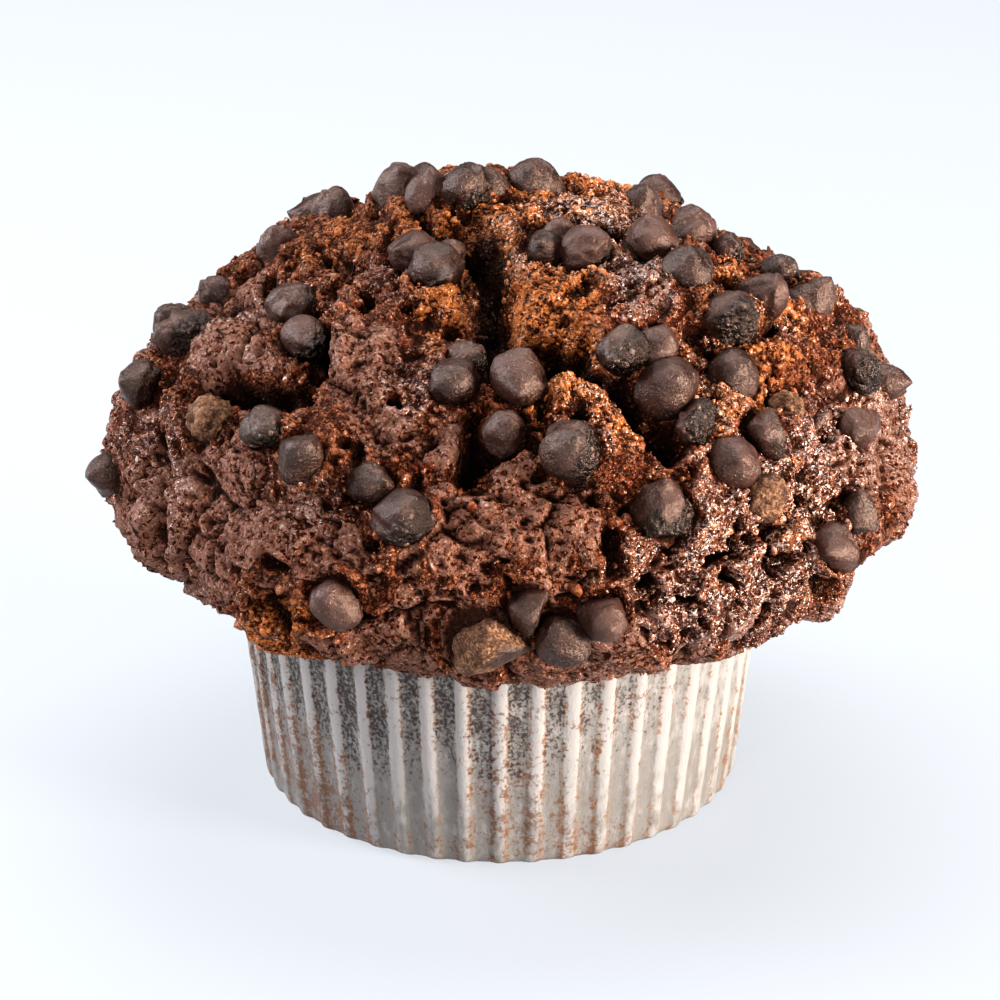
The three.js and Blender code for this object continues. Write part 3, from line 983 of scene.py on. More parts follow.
@dataclass(frozen=True)
class GreaseproofPaper(Finish):
    """White greaseproof paper, folded in pleats. Where it lies on the crumb, the fat makes it see-through.

    There the dark crumb shows as dense fine specks. Ridges stand off and stay pale, and fat browns the creases.
    """

    name: str = "greaseproof paper"
    white: str = "#908b87"
    greased: str = "#716c67"
    crumb: str = "#2f2421"
    stain: str = "#65493a"
    fat: str = "#7c5d42"
    roughness: float = 0.5

    def surface(self, node: Maker, place: Socket) -> Socket:
        """The paper's shader.

        Args:
            node: adds a node to the material's tree.
            place: the Object coordinates.

        Returns:
            The shader's socket.
        """
        carried = ("greased", "contact", "stained", "folded")
        greased, contact, stained, folded = (
            node(Kind.CARRIED, output="Fac", attribute_name=name) for name in carried
        )
        # grains of crumb 0.36 mm wide show through, and fat browns patches of 1.3 mm
        speck = node(Kind.NOISE, {"Vector": place, "Scale": per_metre(0.36), "Detail": 3.0, "Distortion": 0.3})
        cloud = node(Kind.NOISE, {"Vector": place, "Scale": per_metre(2.4), "Detail": 3.0})
        blot = node(Kind.NOISE, {"Vector": place, "Scale": per_metre(1.3), "Detail": 3.0, "Roughness": 0.65})
        # streaks 1.5 mm wide and crinkles 0.7 mm wide run down the wall
        drawn_out = node(Kind.STRETCH, {"Vector": place, "Scale": (1.0, 1.0, 0.4)})
        streak, crinkle = (
            node(Kind.NOISE, {"Vector": drawn_out, "Scale": per_metre(wide), "Detail": fine, "Roughness": rough})
            for wide, fine, rough in ((1.5, 4.0, 0.65), (0.7, 3.0, 0.7))
        )
        clear = weighed(node, -1.2, (greased, 1.0), (cloud, 0.6), (crinkle, 1.1))
        seen = weighed(node, -2.55, (contact, 0.85), (cloud, 0.4), (crinkle, 1.1), (speck, 2.5))
        spread = weighed(node, -2.15, (stained, 0.9), (blot, 1.5), (speck, 1.4))
        soaked = weighed(node, -1.75, (folded, 0.55), (stained, 0.5), (blot, 1.2), (speck, 0.9))
        colour = layered(
            node,
            self.white,
            (self.greased, clear, 0.1, 0.7, 1.0),
            (self.fat, soaked, -0.05, 0.3, 0.8),
            (self.stain, spread, -0.1, 0.3, 0.8),
            (self.crumb, seen, -0.1, 0.55, 0.88),
        )
        height = weighed(node, 0.0, (speck, 0.035), (cloud, 0.16), (streak, 0.1), (crinkle, 0.07))
        return node(
            Kind.SURFACE,
            {
                "Base Color": colour,
                "Roughness": self.roughness,
                "IOR": 1.4,
                "Subsurface Weight": 0.35,
                "Subsurface Radius": (1.0, 0.9, 0.75),
                "Subsurface Scale": 0.9 * METRES,
                "Normal": node(Kind.BUMP, {"Height": height, "Distance": METRES, "Strength": 1.0}),
            },
        )


@dataclass(frozen=True)
class OpalTable(Finish):
    """A table top of opal acrylic, matt and even, lit from below so that shadows on it stay weak."""

    name: str = "opal acrylic lit from below"
    colour: str = "#5f6265"
    glow_colour: str = "#f5f8fd"
    glow: float = 0.503

    def surface(self, node: Maker, place: Socket) -> Socket:
        """The table's shader.

        Args:
            node: adds a node to the material's tree.
            place: the Object coordinates, not used.

        Returns:
            The shader's socket.
        """
        return node(
            Kind.SURFACE,
            {
                "Base Color": linear(self.colour),
                "Roughness": 0.7,
                "Specular IOR Level": 0.1,
                "Emission Color": linear(self.glow_colour),
                "Emission Strength": self.glow,
            },
        )


# ---------------------------------------------------------------- pieces
def mesh_from(form: bmesh.types.BMesh, name: str) -> bpy.types.Mesh:
    """Turns a form into a mesh.

    Args:
        form: the bmesh, which is freed.
        name: the mesh's name.

    Returns:
        The mesh.
    """
    mesh = bpy.data.meshes.new(name)
    form.to_mesh(mesh)
    form.free()
    return mesh


def put_in_order(form: bmesh.types.BMesh) -> None:
    """Sorts a turned form's vertices by height, reach and bearing, and its edges and faces by their vertices.

    Spin and extrusion leave them in another order on every run. The faces are laid again, a low corner first.

    Args:
        form: the bmesh.
    """

    def rank(corner: bmesh.types.BMVert) -> float:
        """A vertex's rank, in which a step of height outweighs any reach, and a step of reach any bearing."""
        x, y, z = corner.co
        return 1e5 * round(z, 4) + 200 * round(math.hypot(x, y), 4) + round(math.atan2(y, x), 4) % math.tau

    form.verts.sort(key=rank)
    form.verts.index_update()
    form.verts.ensure_lookup_table()
    count = len(form.verts) - 1
    form.edges.sort(key=lambda e: count * min(v.index for v in e.verts) + sum(v.index for v in e.verts))
    laid = []
    for face in form.faces:
        corners = [v.index for v in face.verts]
        # a face of four corners still splits along the same diagonal
        first = min(range(0, len(corners), 2 if len(corners) == 4 else 1), key=corners.__getitem__)
        laid.append(corners[first:] + corners[:first])
    bmesh.ops.delete(form, geom=form.faces[:], context="FACES_ONLY")
    for corners in sorted(laid):
        form.faces.new([form.verts[index] for index in corners])


def smooth_piece(mesh: bpy.types.Mesh, name: str) -> bpy.types.Object:
    """Makes a smooth-shaded object at the origin.

    Args:
        mesh: its mesh.
        name: the piece's name.

    Returns:
        The object, linked to the scene.
    """
    mesh.polygons.foreach_set("use_smooth", np.ones(len(mesh.polygons), bool))
    piece = bpy.data.objects.new(name, mesh)
    bpy.context.scene.collection.objects.link(piece)
    return piece


def vertices_of(mesh: bpy.types.Mesh) -> Array:
    """Reads where a mesh's vertices are.

    Args:
        mesh: the mesh.

    Returns:
        One row for each vertex, in the mesh's own units.
    """
    flat = np.empty(len(mesh.vertices) * 3)
    mesh.vertices.foreach_get("co", flat)
    return flat.reshape(-1, 3)


def place_vertices(mesh: bpy.types.Mesh, points: Array) -> None:
    """Moves a mesh's vertices.

    Args:
        mesh: the mesh.
        points: their new places in millimetres, one row each.
    """
    mesh.vertices.foreach_set("co", (points * METRES).astype(np.float32).ravel())
    mesh.update()


def carry(mesh: bpy.types.Mesh, **numbers: Array) -> None:
    """Stores numbers at each vertex for the material.

    Args:
        mesh: the mesh.
        numbers: under each attribute's name, one number for each vertex.
    """
    for name, values in numbers.items():
        attribute = mesh.attributes.new(name, "FLOAT", "POINT")
        attribute.data.foreach_set("value", np.clip(values, 0.0, 1.0).astype(np.float32))


def dress(piece: bpy.types.Object, finish: Finish, node: str) -> None:
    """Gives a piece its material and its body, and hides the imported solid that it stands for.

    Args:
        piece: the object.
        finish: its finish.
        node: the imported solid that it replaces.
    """
    piece.data.materials.append(finish.build())
    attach(piece, "root")
    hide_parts(node)
    log.info("%s: %d faces", piece.name, len(piece.data.polygons))


def copies_of(form: bpy.types.Mesh, points: Array, name: str) -> bpy.types.Object:
    """Many copies of one small form joined in one mesh, each with vertices of its own.

    Args:
        form: the small mesh, for its faces.
        points: the vertices of each copy in millimetres, as copies by vertices by three.
        name: the piece's name.

    Returns:
        The object with all copies.
    """
    corners = np.empty(len(form.loops), int)
    form.loops.foreach_get("vertex_index", corners)
    sides = np.empty(len(form.polygons), int)
    form.polygons.foreach_get("loop_total", sides)
    count = len(points)
    all_corners = (corners[None, :] + points.shape[1] * np.arange(count)[:, None]).ravel()
    all_sides = np.tile(sides, count)
    mesh = bpy.data.meshes.new(name)
    mesh.vertices.add(count * points.shape[1])
    mesh.loops.add(len(all_corners))
    mesh.polygons.add(len(all_sides))
    mesh.loops.foreach_set("vertex_index", all_corners)
    mesh.polygons.foreach_set("loop_start", np.concatenate([[0], np.cumsum(all_sides)[:-1]]))
    place_vertices(mesh, points.reshape(-1, 3))
    mesh.update(calc_edges=True)
    mesh.validate()
    return smooth_piece(mesh, name)


class BitForm(Enum):
    """The forms with few faces that bits of crumb are shaped from."""

    FLAKE = "flake"
    GRAIN = "grain"
    GRIT = "grit"

    def mesh(self) -> bpy.types.Mesh:
        """Makes the form, about one unit wide.

        Returns:
            Its mesh, with 24 faces for a flake, 20 for a grain and 8 for grit.
        """
        form = bmesh.new()
        if self is BitForm.FLAKE:
            bmesh.ops.create_cube(form, size=1.0)
            bmesh.ops.subdivide_edges(form, edges=form.edges[:], cuts=1, use_grid_fill=True)
            for corner in form.verts:
                corner.co = 0.5 * corner.co.normalized()
        elif self is BitForm.GRAIN:
            bmesh.ops.create_icosphere(form, subdivisions=1, radius=0.5)
        else:
            bmesh.ops.create_uvsphere(form, u_segments=4, v_segments=2, radius=0.5)
        return mesh_from(form, self.value)


def eased(mesh: bpy.types.Mesh, points: Array, rounds: int) -> Array:
    """A mesh's vertices drawn to the middle of their neighbours again and again.

    Args:
        mesh: the mesh, for its edges.
        points: its vertices, one row each.
        rounds: how many times.

    Returns:
        The smoothed places, one row each.
    """
    ends = np.empty(len(mesh.edges) * 2, int)
    mesh.edges.foreach_get("vertices", ends)
    first, second = ends.reshape(-1, 2).T
    size = len(points)
    neighbours = np.bincount(first, minlength=size) + np.bincount(second, minlength=size)
    for _ in range(rounds):
        total = []
        for along in points.T:
            total.append(np.bincount(first, along[second], size) + np.bincount(second, along[first], size))
        points = 0.5 * points + 0.5 * np.stack(total, axis=1) / neighbours[:, None]
    return points


@dataclass
class PaperWall:
    """Sizes of the case's wall, which the stem of the crumb follows too. Millimetres."""

    base_radius: float = 25.4
    bulge: float = 0.5
    bulge_height: float = 3.0
    flare: float = 2.65
    rim_height: float = 27.0
    thickness: float = 0.4
    gap: float = 0.3
    pleats: int = 46
    pleat_depth: float = 0.55
    pleat_depth_at_base: float = 0.4

    def radius(self, height: Array) -> Array:
        """The wall's outer radius at the valleys of its pleats.

        Args:
            height: millimetres above the base.

        Returns:
            Millimetres for each height.
        """
        height = np.asarray(height, float)
        swell = self.bulge * np.sqrt(np.clip(height / self.bulge_height, 0.0, 1.0))
        climb = (height - self.bulge_height) / (self.rim_height - self.bulge_height)
        return self.base_radius + swell + self.flare * np.maximum(0.0, climb)

    def stem(self, height: Array) -> Array:
        """Radius of the crumb inside the case, for each height."""
        return self.radius(height) - self.thickness - self.gap


class Look(Enum):
    """How a chip came out of the oven."""

    CLEAN = "clean"
    SCORCHED = "scorched"
    COATED = "coated"
    CLIPPED = "clipped"


CLEAN, SCORCHED, COATED, CLIPPED = Look

# Chips of the front: across, down, width in front view units, how the tip leans across and up, and the look.
FRONT_CHIPS = (
    (337, 206, 42, 0.0, 0.9, CLEAN),
    (276, 240, 46, -0.2, 0.7, CLEAN),
    (212, 292, 40, -0.5, 0.6, CLEAN),
    (168, 322, 44, -0.5, 0.5, CLEAN),
    (178, 335, 54, -0.7, 0.2, SCORCHED),
    (140, 384, 46, -0.6, 0.1, CLEAN),
    (292, 308, 54, -0.3, 0.2, CLEAN),
    (306, 345, 54, 0.2, -0.2, SCORCHED),
    (108, 476, 46, -0.35, 0.1, CLEAN),
    (301, 455, 56, 0.3, 0.5, CLEAN),
    (208, 420, 50, -0.4, 0.1, COATED),
    (375, 483, 54, 0.4, 0.3, CLEAN),
    (402, 516, 58, 0.1, 0.2, SCORCHED),
    (332, 599, 56, -0.3, 0.2, CLEAN),
    (264, 432, 44, 0.0, 0.0, SCORCHED),
    (507, 431, 54, 0.1, 0.4, CLEAN),
    (572, 450, 60, 0.1, 0.2, SCORCHED),
    (524, 608, 54, -0.8, 0.3, CLEAN),
    (562, 633, 58, -0.2, 0.5, CLEAN),
    (605, 618, 58, 0.2, -0.2, CLEAN),
    (482, 634, 80, -0.4, 0.8, COATED),
    (397, 190, 54, -0.1, 0.6, CLEAN),
    (430, 188, 42, 0.1, 0.7, CLEAN),
    (466, 188, 44, 0.2, 0.6, SCORCHED),
    (491, 180, 38, 0.0, 0.9, CLEAN),
    (533, 184, 58, 0.0, 0.7, CLEAN),
    (411, 257, 54, -0.4, 0.4, CLEAN),
    (436, 272, 54, 0.3, -0.3, CLEAN),
    (452, 250, 30, 0.0, 0.3, CLEAN),
    (480, 259, 46, 0.2, 0.3, COATED),
    (546, 248, 44, -0.2, 0.4, CLEAN),
    (558, 234, 44, 0.0, 0.6, CLEAN),
    (590, 251, 50, 0.3, 0.2, SCORCHED),
    (455, 383, 56, -0.2, 0.1, CLEAN),
    (466, 358, 36, 0.2, 0.5, SCORCHED),
    (519, 383, 62, -0.1, -0.5, CLEAN),
    (620, 352, 52, -0.4, -0.3, SCORCHED),
    (658, 348, 48, 0.4, 0.5, CLEAN),
    (640, 203, 50, 0.2, 0.7, CLEAN),
    (649, 244, 60, -0.2, 0.3, CLEAN),
    (691, 229, 54, 0.3, 0.5, CLEAN),
    (689, 266, 58, 0.1, 0.6, CLEAN),
    (727, 247, 38, 0.2, 0.5, SCORCHED),
    (763, 296, 50, 0.4, 0.2, CLEAN),
    (732, 322, 58, 0.1, 0.2, SCORCHED),
    (784, 271, 42, 0.5, 0.6, CLEAN),
    (813, 298, 46, 0.6, 0.7, CLEAN),
    (671, 385, 60, 0.3, 0.2, CLEAN),
    (733, 376, 56, 0.5, 0.3, CLEAN),
    (694, 425, 52, -0.6, -0.1, SCORCHED),
    (766, 432, 54, -0.8, 0.2, CLIPPED),
    (789, 407, 40, 0.3, 0.3, COATED),
    (735, 462, 58, 0.1, 0.1, CLEAN),
    (861, 368, 52, 0.3, 0.4, SCORCHED),
    (891, 381, 40, 0.9, 0.1, CLEAN),
    (856, 338, 36, 0.6, 0.6, CLEAN),
    (855, 433, 48, 0.1, -0.7, CLEAN),
    (857, 510, 48, -0.1, 0.8, CLEAN),
    (837, 548, 48, -0.4, -0.3, CLIPPED),
    (766, 494, 46, 0.2, 0.2, COATED),
    (667, 513, 62, 0.0, 0.2, SCORCHED),
)


@dataclass(frozen=True)
class Chip:
    """One chip: its middle, its width in millimetres, the direction of its tip, and its look."""

    place: Array
    width: float
    tip: Array
    look: Look


# Patches of the front's crust: across, down, half width in front view units, and how torn it is.
# Below 0 it is smooth skin, and above 0 open crumb.
CRUST_PATCHES = (
    (232, 340, 52, -1.1),
    (366, 348, 46, -1.1),
    (370, 418, 30, -0.8),
    (215, 480, 52, -0.9),
    (165, 540, 46, -0.8),
    (445, 462, 28, -0.8),
    (560, 505, 48, -0.3),
    (600, 490, 30, -0.4),
    (470, 560, 60, -0.3),
    (330, 560, 44, -0.4),
    (645, 284, 36, -1.2),
    (835, 365, 40, -0.5),
    (836, 465, 30, -0.7),
    (420, 655, 60, -0.4),
    (600, 670, 50, -0.2),
    (430, 320, 42, 0.9),
    (480, 215, 60, 0.9),
    (590, 200, 50, 1.0),
    (560, 290, 52, 0.7),
    (620, 255, 34, 0.6),
    (560, 370, 40, 0.8),
    (625, 425, 38, 0.7),
    (340, 235, 46, 0.6),
    (300, 275, 40, 0.5),
    (730, 300, 60, 0.6),
    (800, 330, 44, 0.6),
    (720, 400, 50, 0.5),
    (790, 480, 50, 0.5),
    (700, 560, 60, 0.4),
    (400, 400, 36, 0.4),
    (275, 625, 44, 1.5),
    (340, 650, 40, 0.6),
)


# Where fat and sugar came to the surface: across, down, half width in front view units, and how much of it.
MOIST_PATCHES = (
    (645, 285, 34, 1.3),
    (600, 212, 46, 0.6),
    (836, 464, 30, 1.3),
    (725, 350, 60, 0.7),
    (770, 520, 80, 1.3),
    (700, 585, 70, 1.2),
    (870, 420, 60, 1.0),
    (240, 350, 34, 0.4),
    (560, 500, 50, -0.4),
    (430, 640, 90, -0.5),
)


@dataclass
class Crumb:
    """The baked crumb, from its torn crown down to the stem inside the case."""

    crown: Crown
    wall: PaperWall
    chips: list[Chip]
    cuts: int = 127
    lean_to_front: float = 0.2
    slot_radius: float = 29.4
    slot_roof: float = 27.6
    floor: float = 0.7
    hidden_share: float = 0.05
    lip_inner: float = 27.0
    lip_outer: float = 32.0
    seen_above: float = 24.5
    side_shift: float = 0.45
    nest_rim: float = 0.7
    # depth of crack at which its painted shade is darkest
    darkest_crack: float = 6.5
    mesh: bpy.types.Mesh | None = None

    def outline(self) -> tuple[Array, Array, float]:
        """The whole outline from the top to the middle of the floor.

        Returns:
            Distance from the axis and height of each point, the share of the facets above each point, and the
            share above the slot that holds the case's rim, below which the crumb is hidden.
        """
        steps = 90
        angles = np.radians(np.linspace(90, 0, steps))
        points = [self.crown.upper(a) for a in angles]
        for angle in np.radians(np.linspace(0, 90, steps))[1:]:
            reach, height = self.crown.lower(angle)
            if reach > self.slot_radius + 0.2:
                points.append((reach, height))
        visible = np.array(points)
        steps_out = np.linalg.norm(np.diff(visible, axis=0), axis=1)
        areas = np.concatenate([[0.0], np.cumsum((visible[:-1, 0] + visible[1:, 0]) * steps_out)])
        hidden = [(self.slot_radius, self.slot_roof), (float(self.wall.stem(self.slot_roof)), self.slot_roof)]
        for height in (12.0, 3.0, self.floor):
            hidden.append((float(self.wall.stem(height)), height))
        hidden.append((0.0, self.floor))
        extra = areas[-1] * self.hidden_share * np.arange(1, len(hidden) + 1) / len(hidden)
        shares = np.concatenate([areas, areas[-1] + extra]) / (areas[-1] + extra[-1])
        return np.concatenate([visible, np.array(hidden)]), shares, shares[len(areas) - 1]

    def sphere(self) -> tuple[bpy.types.Object, Array]:
        """A cube cut into a fine even grid, whose corners are then sent out on a sphere.

        Returns:
            The object, and the direction of each vertex, denser towards the front.
        """
        form = bmesh.new()
        bmesh.ops.create_cube(form, size=2.0)
        bmesh.ops.subdivide_edges(form, edges=form.edges[:], cuts=self.cuts, use_grid_fill=True)
        piece = smooth_piece(mesh_from(form, "crumb"), "crumb")
        directions = unit(np.tan(vertices_of(piece.data) * math.pi / 4))
        return piece, unit(directions + self.lean_to_front * VIEW.towards_eye)

    def torn(self, points: Array, normals: Array) -> tuple[Array, Array]:
        """Where the skin has torn open, and where that happened last, so that the crumb there is still light.

        Args:
            points: places on the crown in millimetres, one row each.
            normals: outward directions there.

        Returns:
            0 for smooth skin to 1 for open crumb, and 0 to 1 for how fresh the tear is.
        """
        placed = patches(CRUST_PATCHES, *VIEW.seen_at(points)) * self.crown.in_front(normals)
        level = 0.7 * noise(points, 10.0, 3.0) + 0.55 * noise(points, 4.0, 5.0) + 0.4 * noise(points, 1.8, 6.0)
        level += 0.015 * (points[:, 2] - self.crown.level)
        level += placed
        fresh = smooth_step(0.5, 1.9, level + 0.6 * placed)
        return smooth_step(-0.15, 0.3, level), fresh

    def moist(self, points: Array, normals: Array) -> Array:
        """How thick the film of fat and sugar is.

        Args:
            points: places on the crown in millimetres, one row each.
            normals: outward directions there.

        Returns:
            0 to 1 for each place.
        """
        placed = patches(MOIST_PATCHES, *VIEW.seen_at(points)) * self.crown.in_front(normals)
        return smooth_step(0.0, 1.2, 0.25 + 0.5 * noise(points, 9.0, 71.0) + placed)

    @staticmethod
    def domes(points: Array, length: float, turn: float) -> tuple[Array, Array]:
        """Round clumps pressed together, with sharp creases between them.

        Args:
            points: places in millimetres, one row each.
            length: from clump to clump, in millimetres.
            turn: picks another scatter.

        Returns:
            0 in a crease to 1 on a clump's top, and a number from 0 to 1 for the clump.
        """
        nearest, _, owner = grains(points, length, turn)
        return np.sqrt(np.maximum(0.0, 1.0 - (nearest / 0.98) ** 2)), owner

    def relief(self, points: Array, torn: Array) -> Array:
        """Fine relief of the skin and of the torn crumb.

        Args:
            points: places on the crags in millimetres, one row each.
            torn: how torn the crust is there.

        Returns:
            Height in millimetres.
        """
        warp = np.stack([noise(points, 2.4, turn) for turn in (41.0, 43.0, 47.0)], axis=1)
        bent = points + 0.55 * warp
        large, large_owner = self.domes(bent, 4.6, 21.0)
        middle, middle_owner = self.domes(bent, 2.3, 34.0)
        small, small_owner = self.domes(bent, 1.2, 66.0)
        open_crumb = 1.5 * (large - 0.75) * (0.4 + 0.6 * large_owner) + 0.5 * (large_owner - 0.5)
        open_crumb += 1.0 * (middle - 0.75) * (0.3 + 0.7 * middle_owner) + 0.5 * (middle_owner - 0.5)
        open_crumb += 0.8 * (small - 0.75) + 0.45 * (small_owner - 0.5)
        open_crumb -= 1.7 * smooth_step(0.18, 0.5, noise(bent, 2.7, 8.0))
        flakes, flakes_next, flake = grains(bent, 6.0, 91.0)
        scales, scales_next, scale = grains(bent, 2.6, 93.0)
        seam = np.exp(-(((flakes_next - flakes) / 0.07) ** 2))
        seam = seam * smooth_step(-0.3, 0.2, noise(points, 8.0, 4.0))
        fine_seam = np.exp(-(((scales_next - scales) / 0.11) ** 2)) * (scale > 0.3)
        pores, _, pore_owner = grains(points, 1.5, 55.0)
        pore = smooth_step(1.0, 0.5, pores / (0.14 + 0.22 * pore_owner)) * (pore_owner > 0.3)
        skin = 0.35 + 0.5 * (flake - 0.5) + 0.35 * (scale - 0.5) + 0.22 * (small - 0.75)
        skin += 0.25 * noise(points, 1.0, 2.0) + 0.16 * noise(points, 0.6, 12.0)
        skin -= 1.1 * seam + 0.45 * fine_seam + 0.7 * pore
        pits, _, pit_owner = grains(bent, 4.2, 77.0)
        pit = smooth_step(1.0, 0.5, pits / (0.14 + 0.18 * pit_owner)) * (pit_owner > 0.4)
        return torn * open_crumb + (1.0 - torn) * skin - (0.5 + 1.1 * torn) * pit

    def nests(self, points: Array) -> tuple[Array, Array]:
        """The rim of crumb that rose round each chip, and the gap inside it, which is darkened as painted shade.

        Args:
            points: places on the crown in millimetres, one row each.

        Returns:
            Height of the rim in millimetres, and how deep in the gap each place is, from 0 to 1.
        """
        rim = np.zeros(len(points))
        gap = np.zeros(len(points))
        for chip in self.chips:
            away = np.linalg.norm(points - chip.place, axis=1) / chip.width
            rim = np.maximum(rim, self.nest_rim * np.exp(-(((away - 0.62) / 0.12) ** 2)))
            gap = np.maximum(gap, smooth_step(0.56, 0.44, away))
        return rim * (0.5 + noise(points, 2.2, 61.0)), gap

    def shadows(self, mesh: bpy.types.Mesh, points: Array, normals: Array) -> tuple[Array, Array]:
        """How far each place lies below or above what is round it.

        Args:
            mesh: the crumb's mesh.
            points: its vertices in millimetres.
            normals: its outward directions.

        Returns:
            0 to 1 for how far below, whose colour is darkened as painted shade, and 0 to 1 for how far above,
            whose colour is lightened as painted light.
        """
        near = eased(mesh, points, 8)
        wide = eased(mesh, near, 70)
        close_by = np.einsum("ij,ij->i", near - points, normals)
        all_round = np.einsum("ij,ij->i", wide - points, normals)
        depth = 1.4 * close_by + 1.0 * all_round
        return smooth_step(0.0, 0.95, depth), smooth_step(0.1, 1.1, -depth)

    def build(self) -> None:
        """Makes the crumb's mesh with its attributes."""
        piece, directions = self.sphere()
        outline, shares, seen_share = self.outline()
        bearing = np.arctan2(directions[:, 1], directions[:, 0])
        share = np.clip((1.0 - directions[:, 2]) / 2.0, 0.0, 1.0)
        reach = np.interp(share, shares, outline[:, 0])
        height = np.interp(share, shares, outline[:, 1])
        shown = share <= seen_share
        lean = np.where(shown, self.crown.offset, 0.0)
        points = np.stack([lean + reach * np.cos(bearing), reach * np.sin(bearing), height], axis=1)
        normals = self.crown.normals(points)
        lip = smooth_step(self.lip_inner, self.lip_outer, reach)
        free = np.where(height > self.crown.level, 1.0, lip) * shown
        points = points + (free * self.crown.crags(points, normals))[:, None] * normals
        torn, fresh = self.torn(points, normals)
        rim, gap = self.nests(points)
        torn = np.maximum(torn, smooth_step(0.1, 0.5, rim)) * free
        fine = self.relief(points, torn) + rim
        points = points + (free * fine * (1.0 - gap))[:, None] * normals
        sideways = np.stack([noise(points, 1.6, turn) for turn in (13.0, 17.0, 19.0)], axis=1)
        points = points + (self.side_shift * free * torn)[:, None] * sideways
        place_vertices(piece.data, points)
        hollow, crest = self.shadows(piece.data, points, normals)
        # painted shade along the front's cracks, darkest where a crack is deepest
        across, down = ragged(*VIEW.seen_at(points))
        deep = np.zeros(len(points))
        for crack in FRONT_CRACKS:
            deep = np.maximum(deep, crack.depth / self.darkest_crack * crack.weight(across, down))
        deep = 0.95 * smooth_step(0.25, 0.85, deep) * self.crown.in_front(normals)
        # the colour is darkened as painted shade in hollows, along the front's cracks and in the gaps round the
        # chips, and lightened as painted light on crests
        carry(
            piece.data,
            torn=torn,
            hollow=np.maximum.reduce([hollow * free, deep, 0.9 * gap]),
            crest=crest * free,
            fresh=fresh * free,
            moist=self.moist(points, normals) * free,
            loose=np.zeros(len(points)),
        )
        dress(piece, BakedCrumb(), "cake")
        self.mesh = piece.data

    def sites(self, count: int, seed: int, spread: float) -> tuple[Array, Array, dict[str, Array]]:
        """Random places on the crown, most of them where it is torn.

        Args:
            count: how many.
            seed: the draw's seed.
            spread: the chance on whole skin, against 1 on open crumb.

        Returns:
            Places in millimetres, outward directions, and the numbers that the crumb carries there, by name.
        """
        random = np.random.default_rng(seed)
        points = vertices_of(self.mesh) / METRES
        values = {name: np.empty(len(points), np.float32) for name in ("torn", "hollow", "fresh", "moist")}
        for name, numbers in values.items():
            self.mesh.attributes[name].data.foreach_get("value", numbers)
        normals = np.empty(len(points) * 3)
        self.mesh.vertex_normals.foreach_get("vector", normals)
        on_crown = (points[:, 2] > self.seen_above) | (np.hypot(points[:, 0], points[:, 1]) > self.lip_outer)
        weight = (values["torn"] ** 1.5 + spread) * on_crown
        chosen = random.choice(len(points), count, replace=False, p=weight / weight.sum())
        return points[chosen], normals.reshape(-1, 3)[chosen], {name: v[chosen] for name, v in values.items()}


@dataclass
class CrumbBits:
    """Bits of crumb that stand off the crown, all of one kind: ragged flakes, grains or fine grit."""

    crumb: Crumb
    name: str
    form: BitForm
    count: int
    smallest: float
    largest: float
    seed: int
    ragged: float = 0.35
    spread: float = 0.02
    sunk: float = 0.0
    of_skin: bool = False
    stray: float = 0.06

    def build(self) -> None:
        """Scatters the bits over the crumb."""
        shape = self.form.mesh()
        random = np.random.default_rng(self.seed)
        places, normals, carried = self.crumb.sites(self.count, self.seed, self.spread)
        size = self.smallest + (self.largest - self.smallest) * random.random(self.count) ** 2.0
        own = np.tile(vertices_of(shape), (self.count, 1, 1))
        shift = random.uniform(-90, 90, (self.count, 1, 3))
        flat = (own + shift).reshape(-1, 3)
        swell = (noise(flat, 0.5) + 0.7 * noise(flat, 0.23, 3.0)).reshape(self.count, -1, 1)
        own = own * (1.0 + self.ragged * swell) * random.uniform(0.6, 1.4, (self.count, 1, 3))
        turn = np.linalg.qr(random.normal(size=(self.count, 3, 3)))[0]
        turn *= np.sign(np.linalg.det(turn))[:, None, None]
        moved = np.einsum("nij,nvj->nvi", turn, own) * size[:, None, None]
        places = places - (self.sunk * size)[:, None] * normals + random.normal(0, self.stray, (self.count, 3))
        piece = copies_of(shape, moved + places[:, None, :], self.name)
        # painted shade at the foot of each bit and painted light at its top
        rise = np.einsum("nvi,ni->nv", moved, normals) / size[:, None]
        torn = carried["torn"] if self.of_skin else np.ones(self.count)
        # painted shade on bits that lie deep in the crown's hollows
        deep = smooth_step(0.5, 1.0, carried["hollow"])[:, None]
        crest = random.random((self.count, 1)) ** 1.2 * smooth_step(-0.35, 0.4, rise)
        carry(
            piece.data,
            torn=np.repeat(torn, rise.shape[1]),
            hollow=np.maximum(0.9 * deep, 0.5 * smooth_step(0.1, -0.4, rise)).ravel(),
            crest=crest.ravel(),
            fresh=np.repeat(carried["fresh"], rise.shape[1]),
            moist=np.repeat(carried["moist"], rise.shape[1]),
            loose=np.ones(rise.size),
        )
        dress(piece, BakedCrumb(), "cake")


